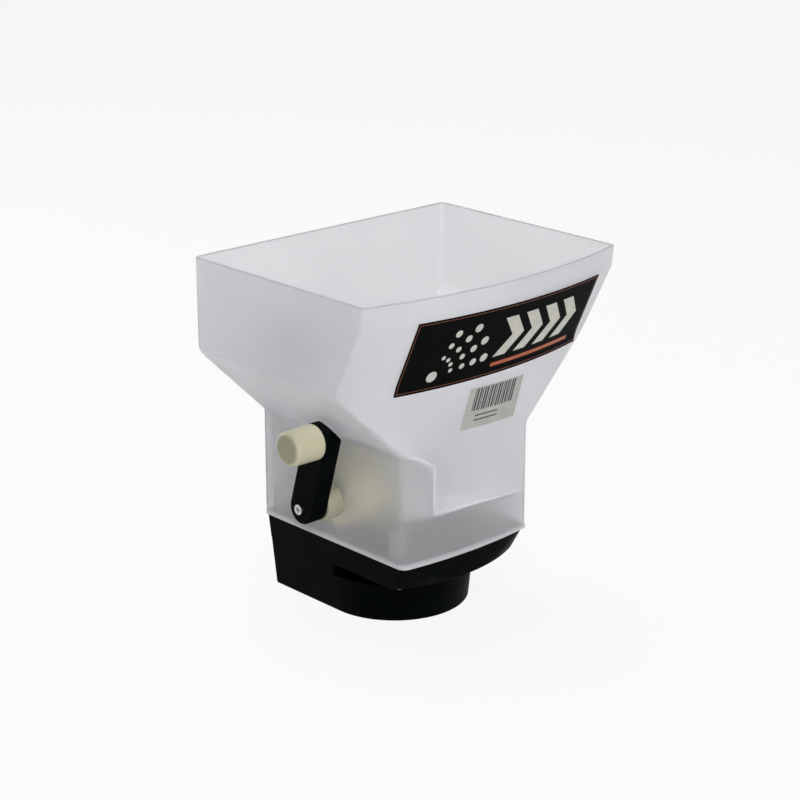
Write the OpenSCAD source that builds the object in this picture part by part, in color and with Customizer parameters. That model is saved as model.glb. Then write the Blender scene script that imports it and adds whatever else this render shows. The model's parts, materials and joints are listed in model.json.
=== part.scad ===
// Hand-cranked spreader: a translucent hopper on a black base, with a gear drive to a throwing disc.
// Origin on the impeller axis at ground level, front towards -Y, crank towards -X, up +Z.

/* [Hopper] */
// Width across the hopper's upright side walls
hopper_w = 241.6; // [236:0.2:246]
// Height of the rim above the ground
rim_z = 265.5; // [262:0.5:275]
// Wall thickness of the hopper moulding
wall = 2.2; // [1.8:0.1:2.6]
// Impeller axis to the flat back of the hopper
back_y = 76; // [75.5:0.1:76.5]
// Impeller axis to the middle of the rim at the front
rim_front = 119; // [116:0.5:122]
// Impeller axis to the middle of the skirt at the front
skirt_front = 81; // [80.4:0.1:81.6]
// Impeller axis to the front wall's shoulder
shoulder_front = 91; // [88:0.5:95]
// Height of the front wall's shoulder
shoulder_z = 195; // [188:1:202]
// Depth of the upright band under the rim
rim_band_h = 16; // [12:1:20]
// Lean of the band under the rim, out at the top
rim_band_lean = 1.7; // [0:0.1:3]
// Distance behind the impeller axis of the centre that the front wall is bowed about
bow_y = 300; // [290:5:340]
// Height where the upright sides turn into the slope
crease_z = 197; // [192:1:205]
// Radius of that crease
crease_r = 15; // [8:1:25]
// Width of the skirt round the gears
skirt_w = 124; // [123.6:0.1:125]
// Height where the slope turns into the skirt
skirt_top_z = 140; // [138:0.5:143]
// Depth that rounding takes off the hopper's front corners
corner_trim = 2.6; // [1.6:0.1:3]
// Depth that the bead round the skirt's lower edge stands out
bead_out = 0.8; // [0.4:0.1:1.2]
// Height of that bead
bead_h = 2.2; // [1.5:0.1:3]

/* [Floor and gear cover] */
// Thickness of the floor and gear cover
floor_t = 2; // [1.6:0.1:2.2]
// Height of the floor where it meets the front wall
floor_front_z = 94; // [92:0.5:97]
// Rise of the floor behind the port, in degrees
floor_back_deg = 33; // [28:1:38]
// Left edge of the lower hopper, measured from the impeller axis
cover_x = 30.5; // [30:0.5:34]
// Height of the gear cover over that edge
cover_z = 126; // [123:0.5:128]
// Height of the cover's knee, nearer the wall
cover_knee_z = 138; // [135:0.5:139]
// Distance of that knee from the impeller axis
cover_knee_x = 50; // [46:0.5:54]

/* [Base] */
// Height of the lower base
pan_h = 38; // [38:0.5:39]
// How far the lower base's sides stand inside the skirt's at the ground
foot_in = 7; // [6.4:0.1:7.5]
// The same at the lower base's top
pan_top_in = 3.4; // [3:0.1:3.8]
// Impeller axis to the back of the lower base
pan_back_y = 73.5; // [73:0.1:74]
// Wall thickness of the base
base_t = 2.5; // [2:0.1:2.6]
// Height of the throwing slot under the deck
slot_h = 9; // [8:0.5:10]
// Rounding of the lower base's bottom edge
foot_round = 1.5; // [1:0.5:3]
// Height of the band that shows under the skirt
band_h = 19.5; // [19:0.5:20.5]
// Depth that the band reaches up inside the skirt
band_tuck = 4; // [3:0.5:5]
// Step from the skirt's face in to the band's face
band_step = 1.2; // [0.8:0.1:1.8]
// Depth from the skirt's face in to the foot of the band at the front
band_lean = 4.3; // [3.6:0.1:5]
// Radius that the band's foot is bowed to at the front
band_bow_r = 130; // [120:1:145]
// Growth of that radius from the band's foot to its top
band_bow_grow = 10; // [9:0.5:14]
// Depth that rounding takes off the base's rear corners at the ground
rear_trim = 1.6; // [0.8:0.1:2]
// Thickness of the deck
deck_t = 2.5; // [2:0.1:2.6]

/* [Feed port and gates] */
// Impeller axis to the near side of the port
port_x = 15; // [14.5:0.1:15.5]
// Width of the port, left to right
port_w = 26; // [24:0.5:26]
// Impeller axis to the front edge of the port
port_front = 12; // [11:0.5:13]
// Length of the port, front to back
port_l = 18; // [15:0.5:18.5]
// Wall of the feed chute
chute_t = 2; // [1.5:0.1:2.2]
// Thickness of the gate
gate_t = 2.5; // [2:0.1:2.6]
// Thickness of the rate plate
rate_t = 2; // [1.6:0.1:2.2]
// Overlap of a plate past each edge of the port when it is shut
plate_lap = 2; // [1:0.5:2.5]
// Travel of the rate plate
rate_travel = 14; // [10:1:14]
// Width of the plates' tails where they leave the base
tail_w = 10; // [9:0.5:10]

/* [Gears] */
// Height of the crank axis
crank_z = 90; // [89.5:0.5:91]
// Tooth size, pitch diameter over number of teeth
gear_module = 1.6667; // [1.62:0.01:1.7]
// Teeth on the crank gear
gear_teeth = 36; // [35:1:37]
// Teeth on the pinion
pinion_teeth = 12; // [11:1:12]
// Face width of the crank gear's teeth
gear_face = 5; // [4.5:0.1:5.4]
// Gap between mating teeth, measured along the pitch line
backlash = 0.55; // [0.5:0.05:0.8]
// Radius of the crank gear's hub, which shows outside the wall
hub_r = 13.3; // [12.5:0.1:14]
// Length of that hub outside the wall
hub_out = 13.6; // [12.5:0.1:15]

/* [Crank] */
// Distance from the crank axis to the knob axis
crank_l = 57.3; // [52:0.5:62]
// Lean of the arm towards the front at rest
crank_lean = 16.2; // [-30:0.1:60]
// Thickness of the arm
arm_t = 15; // [14.5:0.1:17]
// Half width of the arm
arm_r = 11.5; // [10.8:0.1:12.5]
// Length of the arm past the knob axis
arm_past = 11; // [9:0.1:12]
// Corner radius at the knob end of the arm
arm_corner_r = 6.5; // [4:0.5:8]
// Gap between the arm's far end and the hopper's slope as it passes
arm_clear = 1; // [0.8:0.1:2]
// Radius of the knob at the arm
knob_r = 13; // [12.5:0.1:14]
// Radius of the knob at its outer end
knob_end_r = 12.7; // [11:0.1:13]
// Length of the knob
knob_l = 26; // [22:1:32]
// Rounding of the knob's outer edge
knob_round = 5; // [2:0.5:6]
// Radius of the knob's spigot in the arm
spigot_r = 4.5; // [4:0.1:5]
// Radius of the crank screw's head
crank_screw_head_r = 3.8; // [3.6:0.1:5]

/* [Shafts] */
// Radius of the crank shaft and the impeller shaft
shaft_r = 4; // [3.6:0.1:4.2]
// Radial clearance of a running fit
run_fit = 0.08; // [0.05:0.01:0.1]
// Gap between pieces that seat against each other
seat_gap = 0.3; // [0.2:0.05:0.4]
// Gap over and under a sliding plate
slide_gap = 0.2; // [0.15:0.05:0.3]
// Wall of a bush
bush_t = 2.4; // [2:0.1:2.6]

/* [Impeller] */
// Radius of the impeller
impeller_r = 43.5; // [40:0.5:44]
// Height of the vanes
vane_h = 9; // [7:0.5:9.5]
// Number of vanes
vanes = 5; // [4:1:6]
// Radius that each vane is curved to
vane_curve_r = 45; // [35:1:60]

/* [Handle] */
// Height of the handle's upper arm
handle_top_z = 178; // [176:0.5:179]
// Gap for the fingers, from the hopper's back to the grip
grip_gap = 43.5; // [43:0.5:46]
// Width of the handle
grip_w = 26; // [25:0.5:28]
// Depth of the handle, front to back
grip_d = 15; // [14.5:0.5:17]
// Corner rounding of the handle
grip_round = 6; // [3:0.5:6.5]
// Bend radius of the handle, on its middle line
grip_bend_r = 16; // [14:0.5:17]
// Travel of the gate when the trigger is squeezed
gate_travel = 20; // [16:0.5:20]
// Depth of the trigger, front to back
trigger_d = 8; // [7:0.5:8.5]
// Width of the trigger
trigger_w = 9; // [8:0.5:9]
// Radius of the trigger's pivot pin
trigger_pin_r = 2.5; // [2:0.1:2.8]

/* [Screws] */
// Radius of the small screws
screw_r = 1.7; // [1.5:0.05:1.75]
// Radius of their heads
screw_head_r = 3.4; // [3:0.1:3.5]
// Thickness of their heads
screw_head_h = 2.3; // [1.8:0.1:2.5]
// Radius of the roll pins
roll_pin_r = 1.25; // [1:0.05:1.4]

/* [Hidden] */

smooth = 64;
fine = 32;
cut = 1;
far = 400;

// Colours
milky = [0.86, 0.86, 0.91, 0.55];
ivory = [0.90, 0.86, 0.72];
black = [0.09, 0.09, 0.10];
steel = [0.72, 0.72, 0.74];

// Side walls of the hopper
half_w = hopper_w / 2;
half_skirt = skirt_w / 2;
foot_r = half_skirt - foot_in;
pan_top_r = half_skirt - pan_top_in;
slope_run = half_w - half_skirt;
slope_rise = crease_z - skirt_top_z;
slope_l = norm([slope_run, slope_rise]);
slope_ratio = slope_rise / slope_run;
skirt_blend_r = 8;

// Front wall of the hopper
blend_r = 60;
band_blend_r = 25;
front_blend_z = 140;
corner_y = 15;

// Heights of the base, from the ground up
deck_z = pan_h;
deck_top = deck_z + deck_t;
rate_z = deck_top + slide_gap;
gate_z = rate_z + rate_t + slide_gap;
plates_top = gate_z + gate_t + slide_gap;
skirt_z = pan_h + band_h;
band_top = skirt_z - seat_gap;
band_inset = wall + seat_gap;
band_front = skirt_front - band_lean;

// Gear sizes
gear_r = gear_module * gear_teeth / 2;
pinion_r = gear_module * pinion_teeth / 2;
tooth_up = 0.8 * gear_module;
tooth_down = 1.1 * gear_module;
tooth_w = PI * gear_module / 2 - backlash / 2;
pressure_deg = 20;
gear_inner_r = gear_r - gear_face / 2;
gear_outer_r = gear_r + gear_face / 2;
gear_face_x = -pinion_r - tooth_down;
gear_tip_x = -pinion_r + tooth_up;
gear_rim_r = gear_outer_r + 0.5;
gear_rim_back = 12;
mesh_z = crank_z - gear_r;
pinion_face = gear_face + 2;
pinion_z = mesh_z - pinion_face / 2;
pinion_hub_r = 7;
pinion_hub_h = 4.5;
pinion_top = pinion_z + pinion_face + pinion_hub_h;

// Thrust washer, deck bush and the tower that holds it, below the pinion
washer_t = 1;
washer_z = pinion_z - slide_gap - washer_t;
bush_flange_t = 1.5;
bush_top = washer_z - slide_gap;
tower_top = bush_top - bush_flange_t;
bush_r = shaft_r + bush_t;
bush_flange_r = 8.4;
tower_r = bush_r + 3;

// Floor of the lower hopper
floor_clear = 2.5;
floor_z = pinion_top + floor_clear + floor_t;
trough_front = 24;
trough_back = 14;
port_back = port_l - port_front;
rate_tail_x = port_x + port_w / 2;
chute_top = floor_z - floor_t - seat_gap;

// Gear cover
gear_clear = 3.5;
tunnel_r = gear_rim_r + gear_clear + floor_t;
tunnel_x = gear_tip_x + gear_clear / 2 + floor_t;
cover_bush_x = tunnel_x - floor_t;
cover_bush_l = 7;

// Crank axis, measured along X
wall_x = -half_skirt;
hub_x = wall_x - hub_out;
arm_x = hub_x - arm_t;
ring_r = hub_r + 5;
ring_t = 2.5;
flange_x = wall_x + wall + ring_t + seat_gap;
flange_r = 21;
flange_t = 2.6;
drive_w = 13;
drive_l = 11;
core_r = 8;
shaft_end_x = half_skirt - wall - 1.6;
boss_r = shaft_r + 4;
boss_l = 8;
shaft_start_x = hub_x - drive_l + 3;
crank_screw_r = 2.2;
crank_screw_l = 20;
crank_screw_head_h = 2.6;
gear_pin_x = -40;

// Knob and its screw
knob_screw_r = 2;
knob_screw_bite = 8;
knob_head_r = spigot_r + 1.3;
knob_head_h = 3.2;
knob_head_sink = 1.3;
spigot_l = arm_t - knob_head_h - knob_head_sink;

// Agitator
agitator_lap = 1;
agitator_l = port_w + 2 * agitator_lap;
agitator_x = port_x - agitator_lap;
agitator_pin_x = agitator_x + agitator_l / 2;
agitator_hub_r = 7.4;
finger_r = 2;
finger_clear = 3.5;
finger_reach = crank_z - floor_z - finger_clear;
fingers = 4;

// Impeller
impeller_z = pan_h - slot_h - 5;
impeller_t = 2.4;
impeller_hub_r = 9;
impeller_hub_down = 5;
lower_boss_top = impeller_z - impeller_hub_down - 3;
lower_boss_r = 9;
shaft_foot = 1.2;
shaft_bottom = base_t + shaft_foot;
shaft_top = pinion_top + 1;
spinner_pin_z = [impeller_z - impeller_hub_down / 2, pinion_top - pinion_hub_h / 2];

// Posts and pillars that take the screws
post_x = half_skirt - 12;
post_front = 58;
post_back = 65;
post_r = 4.4;
post_top = 80;
rib_t = 2;
pillar_r = 4.4;
pan_boss_r = 5;
pan_screw_x = foot_r - pan_boss_r - 0.8;
pan_screw_y = [12, 52];
pan_pillar_h = 7.5;
floor_screw_x = 47.5;
floor_screw_y = [-20, 25];
floor_boss_drop = 4.5;
floor_boss_z = floor_z - floor_t - floor_boss_drop;
screw_bite = 9;
rail_t = 2;
rail_lip = 2;
rail_lip_t = 1.4;
rail_back = port_l - port_front + plate_lap + 13;

// Handle, measured in the plane x = 0
base_back = back_y - band_inset;
arm_low_d = 16;
arm_low_z = deck_z + 8.6;
grip_y = back_y + grip_gap + grip_d / 2;
pivot_in = 16;
pivot_y = grip_y - pivot_in;
pivot_z = handle_top_z - 4;
foot_reach = 19.5;
foot_y = base_back + foot_reach;
foot_z = gate_z + gate_t / 2 + 0.6;
trigger_l = norm([pivot_y - foot_y, pivot_z - foot_z]);
trigger_rest_deg = asin((pivot_y - foot_y) / trigger_l);
tip_r = 3.4;
tip_w = 6;
gate_end_l = 4;
gate_end = foot_y + tip_r + gate_end_l;
rate_body_l = 22;
rate_tab_t = 4;
rate_tab_h = 10;
rate_tab_out = 8;
trigger_eye_r = 7;
swing_front = 3;
swing_drop = 5;
swing_rise = 12;
trigger_clear = 0.8;
trigger_foot_l = 12;
trigger_neck_l = 6;
trigger_tip_l = 9;
groove_r = 13;
groove_depth = 1.4;
groove_first = 26;
groove_pitch = 22;
handle_screw_in = 22;
handle_screw_z = [112, 72];
handle_screw_at = [[back_y + handle_screw_in, handle_top_z], for (z = handle_screw_z) [grip_y, z]];
handle_screw_l = 18;
handle_sink = 5;
mount_x = 8.8;
mount_low_z = arm_low_z + 4.6;
mount_bite = 14;
flange_w = 36;
flange_h = 26;
flange_d = 4;
spring_wire_r = 0.6;
spring_r = 4.6;
spring_turns = 3;
spring_pitch = 2.4 * spring_wire_r;
spring_x = trigger_w / 2 + 1.2;

// Places and turns

module along_x(x0, x1) {
    translate([x0, 0, 0]) rotate([90, 0, 90]) linear_extrude(x1 - x0) children();
}

module along_y(y0, y1) {
    translate([0, y1, 0]) rotate([90, 0, 0]) linear_extrude(y1 - y0) children();
}

module on_crank_axis(x = 0) {
    translate([x, 0, crank_z]) rotate([0, 90, 0]) children();
}

module on_knob_axis(x = 0) {
    y = -crank_l * sin(crank_lean);
    z = crank_z + crank_l * cos(crank_lean);
    translate([x, y, z]) rotate([0, 90, 0]) children();
}

module both_sides() {
    children();
    mirror([1, 0, 0]) children();
}

// Rounded outlines

function unit(v) = v / norm(v);

function corner_arc(a, b, c, r, steps) =
    let (
        u = unit(a - b),
        v = unit(c - b),
        half = acos(u * v) / 2,
        middle = b + unit(u + v) * (r / sin(half)),
        p = b + u * (r / tan(half)) - middle,
        q = b + v * (r / tan(half)) - middle,
        start = atan2(p[1], p[0]),
        sweep = (atan2(q[1], q[0]) - start + 540) % 360 - 180
    )
    [for (i = [0:steps]) middle + r * [cos(start + sweep * i / steps), sin(start + sweep * i / steps)]];

function rounded(points, radii, steps = 6) =
    let (n = len(points))
    [for (i = [0:n - 1]) each radii[i] > 0
        ? corner_arc(points[(i + n - 1) % n], points[i], points[(i + 1) % n], radii[i], steps)
        : [points[i]]];

module rounded_rect(w, h, r) {
    square([w - 2 * r, h], center = true);
    square([w, h - 2 * r], center = true);
    for (x = [-1, 1], y = [-1, 1]) {
        translate([x * (w / 2 - r), y * (h / 2 - r)]) circle(r, $fn = fine);
    }
}

module tube(r_out, r_in, h) {
    difference() {
        cylinder(r = r_out, h = h, $fn = smooth);
        translate([0, 0, -cut]) cylinder(r = r_in, h = h + 2 * cut, $fn = smooth);
    }
}

// A pan-head screw with a cross recess: the shank points up from the origin, the head hangs below
module pan_screw(r, l, head_r, head_h) {
    recess_w = head_r * 0.26;
    recess_l = head_r * 1.15;
    difference() {
        union() {
            cylinder(r = r, h = l, $fn = fine);
            translate([0, 0, -head_h]) cylinder(r = head_r, h = head_h, $fn = fine);
        }
        for (a = [0, 90]) {
            rotate([0, 0, a]) translate([-recess_l / 2, -recess_w / 2, -head_h - cut]) {
                cube([recess_l, recess_w, cut + head_h * 0.6]);
            }
        }
    }
}

module small_screw(l) {
    pan_screw(screw_r, l, screw_head_r, screw_head_h);
}

module screw_hole(l) {
    translate([0, 0, -cut]) cylinder(r = screw_r + run_fit * 2, h = l + cut, $fn = fine);
}

// Hopper

// Height at which the slope, moved inwards by t, crosses the upright line at x
function slope_z(x, t) =
    skirt_top_z + t * slope_run / slope_l + (x - half_skirt + t * slope_rise / slope_l) * slope_ratio;

module side_outline(t) {
    lower = half_skirt - t;
    upper = half_w - t;
    top = rim_z + 5;
    right = [[lower, 0], [lower, slope_z(lower, t)], [upper, slope_z(upper, t)], [upper, top]];
    left = [for (i = [3:-1:0]) [-right[i][0], right[i][1]]];
    radii = [0, skirt_blend_r + t, crease_r - t, 0];
    polygon(rounded(concat(right, left), concat(radii, [for (i = [3:-1:0]) radii[i]])));
}

module front_outline(t) {
    band_z = rim_z - rim_band_h;
    lower = bow_y + skirt_front - t;
    rim = bow_y + rim_front - t;
    top = rim_z + 5;
    points = [[0, 0], [lower, 0], [lower, front_blend_z], [bow_y + shoulder_front - t, shoulder_z],
        [rim - rim_band_lean, band_z], [rim, rim_z], [rim, top], [0, top]];
    polygon(rounded(points, [0, 0, blend_r, blend_r, band_blend_r, 0, 0, 0]));
}

// Distance from the corners' own axis to the front corner where the side is at x and the bow's radius is r
function corner_reach(x, r) = norm([x, corner_y - bow_y + sqrt(r * r - x * x)]);

// Outline, turned about that axis, which rounds the front corners
module corner_outline(t) {
    band_z = rim_z - rim_band_h;
    lower = corner_reach(half_skirt, bow_y + skirt_front) - corner_trim - t;
    crease = corner_reach(half_w, bow_y + shoulder_front) - corner_trim - t;
    rim = corner_reach(half_w, bow_y + rim_front) - corner_trim / 2 - t;
    polygon([[0, 0], [lower, 0], [lower, skirt_top_z], [crease, crease_z], [rim - rim_band_lean, band_z],
        [rim, rim_z], [rim, rim_z + 5], [0, rim_z + 5]]);
}

// The space inside the hopper's outer skin moved inwards by t, between two heights
module hopper_form(t, z0, z1) {
    intersection() {
        along_y(-far, back_y - t) side_outline(t);
        translate([0, bow_y, 0]) rotate_extrude($fn = 360) front_outline(t);
        translate([0, corner_y, 0]) rotate_extrude($fn = 180) corner_outline(t);
        translate([-far, -far, z0]) cube([2 * far, 2 * far, z1 - z0]);
    }
}

module posts() {
    for (y = [-post_front, post_back]) both_sides() translate([post_x, y, 0]) children();
}

// A post for a screw, with two ribs that tie it to the skirt
module hopper_post(y) {
    post_z = deck_top + seat_gap;
    rib_z = skirt_z + band_tuck + 0.5;
    difference() {
        union() {
            translate([post_x, y, post_z]) cylinder(r = post_r, h = post_top - post_z, $fn = fine);
            translate([post_x, y - rib_t / 2, rib_z]) {
                cube([half_skirt - post_x - wall / 2, rib_t, post_top - rib_z]);
            }
            translate([post_x - rib_t / 2, y > 0 ? y : y - 15, rib_z]) {
                cube([rib_t, 15, post_top - rib_z]);
            }
        }
        translate([post_x, y, post_z]) screw_hole(screw_bite + 6);
    }
}

module hopper() {
    pocket_x = half_skirt - wall / 2 - boss_l;
    color(milky) difference() {
        union() {
            difference() {
                union() {
                    hopper_form(0, skirt_z, rim_z);
                    hopper_form(-bead_out, skirt_z, skirt_z + bead_h);
                }
                hopper_form(wall, skirt_z - cut, rim_z + cut);
            }
            intersection() {
                hopper_form(wall / 2, deck_top, crease_z);
                both_sides() {
                    hopper_post(-post_front);
                    hopper_post(post_back);
                }
            }
            on_crank_axis(wall_x + wall / 2) cylinder(r = ring_r, h = wall / 2 + ring_t, $fn = smooth);
            on_crank_axis(pocket_x) cylinder(r = boss_r, h = boss_l, $fn = smooth);
        }
        on_crank_axis(wall_x - cut) {
            cylinder(r = hub_r + run_fit, h = wall + ring_t + 2 * cut, $fn = smooth);
        }
        on_crank_axis(pocket_x - cut) {
            cylinder(r = shaft_r + run_fit, h = shaft_end_x + seat_gap + cut - pocket_x, $fn = smooth);
        }
        for (x = [-mount_x, mount_x]) translate([x, back_y - wall - cut, handle_top_z]) {
            rotate([-90, 0, 0]) screw_hole(wall + 2 * cut);
        }
    }
}

// Floor of the lower hopper with the gear cover, drawn as the skin between two blocks

module floor_outline(t) {
    front = skirt_front + 5;
    slope = (floor_front_z - floor_z) / (skirt_front - trough_front);
    back = back_y + 5;
    front_z = floor_z + slope * (front - trough_front);
    back_z = floor_z + (back - trough_back) * tan(floor_back_deg);
    polygon([[-front, 0], [-front, front_z - t], [-trough_front, floor_z - t], [trough_back, floor_z - t],
        [back, back_z - t], [back, 0]]);
}

module cover_outline(t) {
    edge = half_skirt + 5;
    z = skirt_top_z + 4;
    polygon([[-edge, 0], [-edge, z - t], [-half_skirt, z - t], [-cover_knee_x, cover_knee_z - t],
        [-cover_x - t, cover_z - t], [-cover_x - t, 0]]);
}

module tunnel_outline(t) {
    r = tunnel_r - t;
    translate([0, crank_z]) circle(r, $fn = smooth);
    translate([-r, 0]) square([2 * r, crank_z]);
}

module floor_block(t) {
    along_x(-cover_x - floor_t, half_skirt + 5) floor_outline(t);
    along_y(-far, back_y) cover_outline(t);
    along_x(-cover_x - floor_t - cut, tunnel_x - t) tunnel_outline(t);
}

module port_prism(grow, z0, z1) {
    translate([port_x - grow, -port_front - grow, z0]) cube([port_w + 2 * grow, port_l + 2 * grow, z1 - z0]);
}

module hopper_floor() {
    color(milky) difference() {
        intersection() {
            hopper_form(wall + seat_gap, skirt_z, rim_z);
            union() {
                difference() {
                    floor_block(0);
                    floor_block(floor_t);
                }
                intersection() {
                    floor_block(floor_t / 2);
                    for (y = floor_screw_y) translate([floor_screw_x, y, floor_boss_z]) {
                        cylinder(r = pillar_r, h = 20, $fn = fine);
                    }
                }
            }
        }
        port_prism(0, skirt_z, crank_z);
        on_crank_axis(cover_bush_x - cut) {
            cylinder(r = bush_r + run_fit, h = floor_t + 2 * cut, $fn = smooth);
        }
        for (y = floor_screw_y) {
            translate([floor_screw_x, y, floor_boss_z]) screw_hole(floor_boss_drop + 0.5);
        }
    }
}

// Base

// The band leans in towards the lower base, most of all at its front corners
function band_share(z) = (z - deck_z) / (band_top - deck_z);
function band_x(z) =
    let (low = pan_top_r + seat_gap, high = half_skirt - band_step) low + band_share(z) * (high - low);
function band_front_r(z) = bow_y + band_front + band_share(z) * (band_lean - band_step);
function band_corner_r(z) = band_bow_r + band_share(z) * band_bow_grow;

// Distance from the rear corners' own axis to a rear corner of the base, less what rounding takes off
function rear_reach(x, z) = norm([x, base_back - corner_y]) - rear_trim * (1 - 0.8 * z / skirt_z);

// The space that the rear corners are rounded to, where the base's side is at x0 below and at x1 above
module rear_round(t, x0, x1, z0, z1) {
    translate([0, corner_y, z0]) {
        cylinder(r1 = rear_reach(x0, z0) - t, r2 = rear_reach(x1, z1) - t, h = z1 - z0, $fn = 180);
    }
    translate([-far, -2 * far, z0]) cube([2 * far, 2 * far + corner_y, z1 - z0]);
}

module band_form(t, z0, z1) {
    intersection() {
        along_y(-far, base_back - t) {
            polygon([[t - band_x(z0), z0], [band_x(z0) - t, z0], [band_x(z1) - t, z1], [t - band_x(z1), z1]]);
        }
        translate([0, bow_y, z0]) {
            cylinder(r1 = band_front_r(z0) - t, r2 = band_front_r(z1) - t, h = z1 - z0, $fn = 360);
        }
        translate([0, band_bow_r - band_front, z0]) {
            cylinder(r1 = band_corner_r(z0) - t, r2 = band_corner_r(z1) - t, h = z1 - z0, $fn = 180);
        }
        rear_round(t, band_x(z0), band_x(z1), z0, z1);
    }
}

module deck_holes() {
    translate([0, 0, -far]) cylinder(r = bush_r + run_fit, h = 2 * far, $fn = smooth);
    port_prism(0, 0, far);
    for (y = [-post_front, post_back]) both_sides() {
        translate([post_x, y, deck_z - cut]) screw_hole(deck_t + 2 * cut);
    }
    for (y = floor_screw_y) translate([floor_screw_x, y, deck_z - cut]) screw_hole(far);
    for (y = pan_screw_y) both_sides() {
        translate([pan_screw_x, y, deck_z - cut]) screw_hole(pan_pillar_h + deck_t - 1);
    }
    translate([-tail_w / 2 - seat_gap, base_back - base_t - cut, gate_z - slide_gap]) {
        cube([tail_w + 2 * seat_gap, base_t + 2 * cut, gate_t + 2 * slide_gap]);
    }
    translate([rate_tail_x - tail_w / 2 - seat_gap, base_back - base_t - cut, deck_top]) {
        cube([tail_w + 2 * seat_gap, base_t + 2 * cut, rate_t + 2 * slide_gap]);
    }
    for (x = [-mount_x, mount_x]) translate([x, base_back - base_t - cut, mount_low_z]) {
        rotate([-90, 0, 0]) screw_hole(base_t + 2 * cut);
    }
}

// Rails at both sides of the plates, with lips that hold them down
module plate_rails() {
    rail_l = rail_back + port_front + plate_lap;
    for (side = [-1, 1]) {
        inner = rate_tail_x + side * (port_w / 2 + seat_gap / 2);
        x = side < 0 ? inner - rail_t : inner;
        lip_x = side < 0 ? inner - rail_t : inner - rail_lip;
        translate([x, -port_front - plate_lap, deck_top - cut / 2]) {
            cube([rail_t, rail_l, plates_top + rail_lip_t - deck_top + cut / 2]);
        }
        translate([lip_x, -port_front - plate_lap, plates_top]) cube([rail_t + rail_lip, rail_l, rail_lip_t]);
    }
}

module base_housing() {
    lip_z = skirt_z + band_tuck;
    color(black) difference() {
        union() {
            difference() {
                union() {
                    band_form(0, deck_z, band_top);
                    hopper_form(band_inset, band_top - cut, lip_z);
                }
                intersection() {
                    band_form(base_t, deck_top, lip_z + cut);
                    hopper_form(band_inset + base_t, deck_top, lip_z + cut);
                }
            }
            translate([0, 0, deck_z]) cylinder(r = tower_r, h = tower_top - deck_z, $fn = smooth);
            port_prism(chute_t, plates_top, chute_top);
            plate_rails();
            for (y = floor_screw_y) translate([floor_screw_x, y, deck_z]) {
                cylinder(r = pillar_r, h = floor_boss_z - seat_gap - deck_z, $fn = fine);
            }
            for (y = pan_screw_y) both_sides() translate([pan_screw_x, y, deck_z]) {
                cylinder(r = pillar_r, h = deck_t + pan_pillar_h, $fn = fine);
            }
        }
        deck_holes();
    }
}

// Lower base: a round front run into straight sides, both leaning out towards the top

module pan_half_outline(t) {
    points = [[0, t], [foot_r - t, t], [pan_top_r - t, pan_h + t], [0, pan_h + t]];
    polygon(rounded(points, [0, max(foot_round - t, 0.5), 0, 0]));
}

module pan_form(t) {
    rotate_extrude($fn = 180) pan_half_outline(t);
    intersection() {
        both_sides() along_y(0, pan_back_y - t) pan_half_outline(t);
        rear_round(t, foot_r, pan_top_r, 0, pan_h + t);
    }
}

module base_pan() {
    slot_start = 3;
    color(black) difference() {
        union() {
            difference() {
                intersection() {
                    pan_form(0);
                    translate([-far, -far, 0]) cube([2 * far, 2 * far, pan_h]);
                }
                pan_form(base_t);
                translate([-far, slot_start - far, pan_h - slot_h]) cube([2 * far, far, far]);
            }
            translate([0, 0, base_t / 2]) {
                cylinder(r = lower_boss_r, h = lower_boss_top - base_t / 2, $fn = smooth);
            }
            for (y = pan_screw_y) both_sides() translate([pan_screw_x, y, base_t / 2]) {
                cylinder(r = pan_boss_r, h = pan_h - base_t / 2, $fn = fine);
            }
        }
        translate([0, 0, shaft_bottom - seat_gap]) cylinder(r = shaft_r + run_fit, h = pan_h, $fn = smooth);
        for (y = pan_screw_y) both_sides() translate([pan_screw_x, y, 0]) {
            translate([0, 0, -cut]) {
                cylinder(r = screw_head_r + seat_gap, h = pan_h - screw_bite + cut, $fn = fine);
            }
            translate([0, 0, pan_h - screw_bite - cut]) screw_hole(screw_bite + 3 * cut);
        }
    }
}

// An upright roll pin through the crank shaft, from r under its axis to r above it, and the hole for one
module roll_pin(x, r, pin_r) {
    translate([x, 0, crank_z - r]) cylinder(r = pin_r, h = 2 * r, $fn = fine);
}

module pin_hole(x, r) {
    roll_pin(x, r + cut, roll_pin_r + run_fit);
}

// Crank gear: face teeth on a dished wheel, with the hub that shows outside the wall

module face_tooth() {
    half = tooth_w / 2 * gear_inner_r / gear_r;
    tip = half - tooth_up * tan(pressure_deg);
    root = half + tooth_down * tan(pressure_deg);
    tall = tooth_up + tooth_down;
    sink = 0.3;
    rotate([90, 0, 90]) linear_extrude(gear_face) {
        polygon([[-root, -sink], [-root, 0], [-tip, tall], [tip, tall], [root, 0], [root, -sink]]);
    }
}

// Radius against distance along the crank axis
module gear_section() {
    back_x = gear_face_x - gear_rim_back;
    front_x = gear_face_x;
    rim_t = 3;
    dish_x = flange_x + flange_t;
    hub_end = gear_pin_x + 4;
    polygon([[shaft_r + run_fit, hub_x], [hub_r, hub_x], [hub_r, flange_x], [flange_r, flange_x],
        [flange_r, dish_x - 0.8], [gear_rim_r, back_x], [gear_rim_r, front_x],
        [gear_inner_r, front_x], [gear_inner_r, front_x - rim_t],
        [gear_rim_r - rim_t, front_x - rim_t - 2.5], [gear_rim_r - rim_t, back_x + 1.5],
        [flange_r - 2, dish_x + 2], [core_r, dish_x + 2], [core_r, hub_end], [shaft_r + run_fit, hub_end]]);
}

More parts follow.
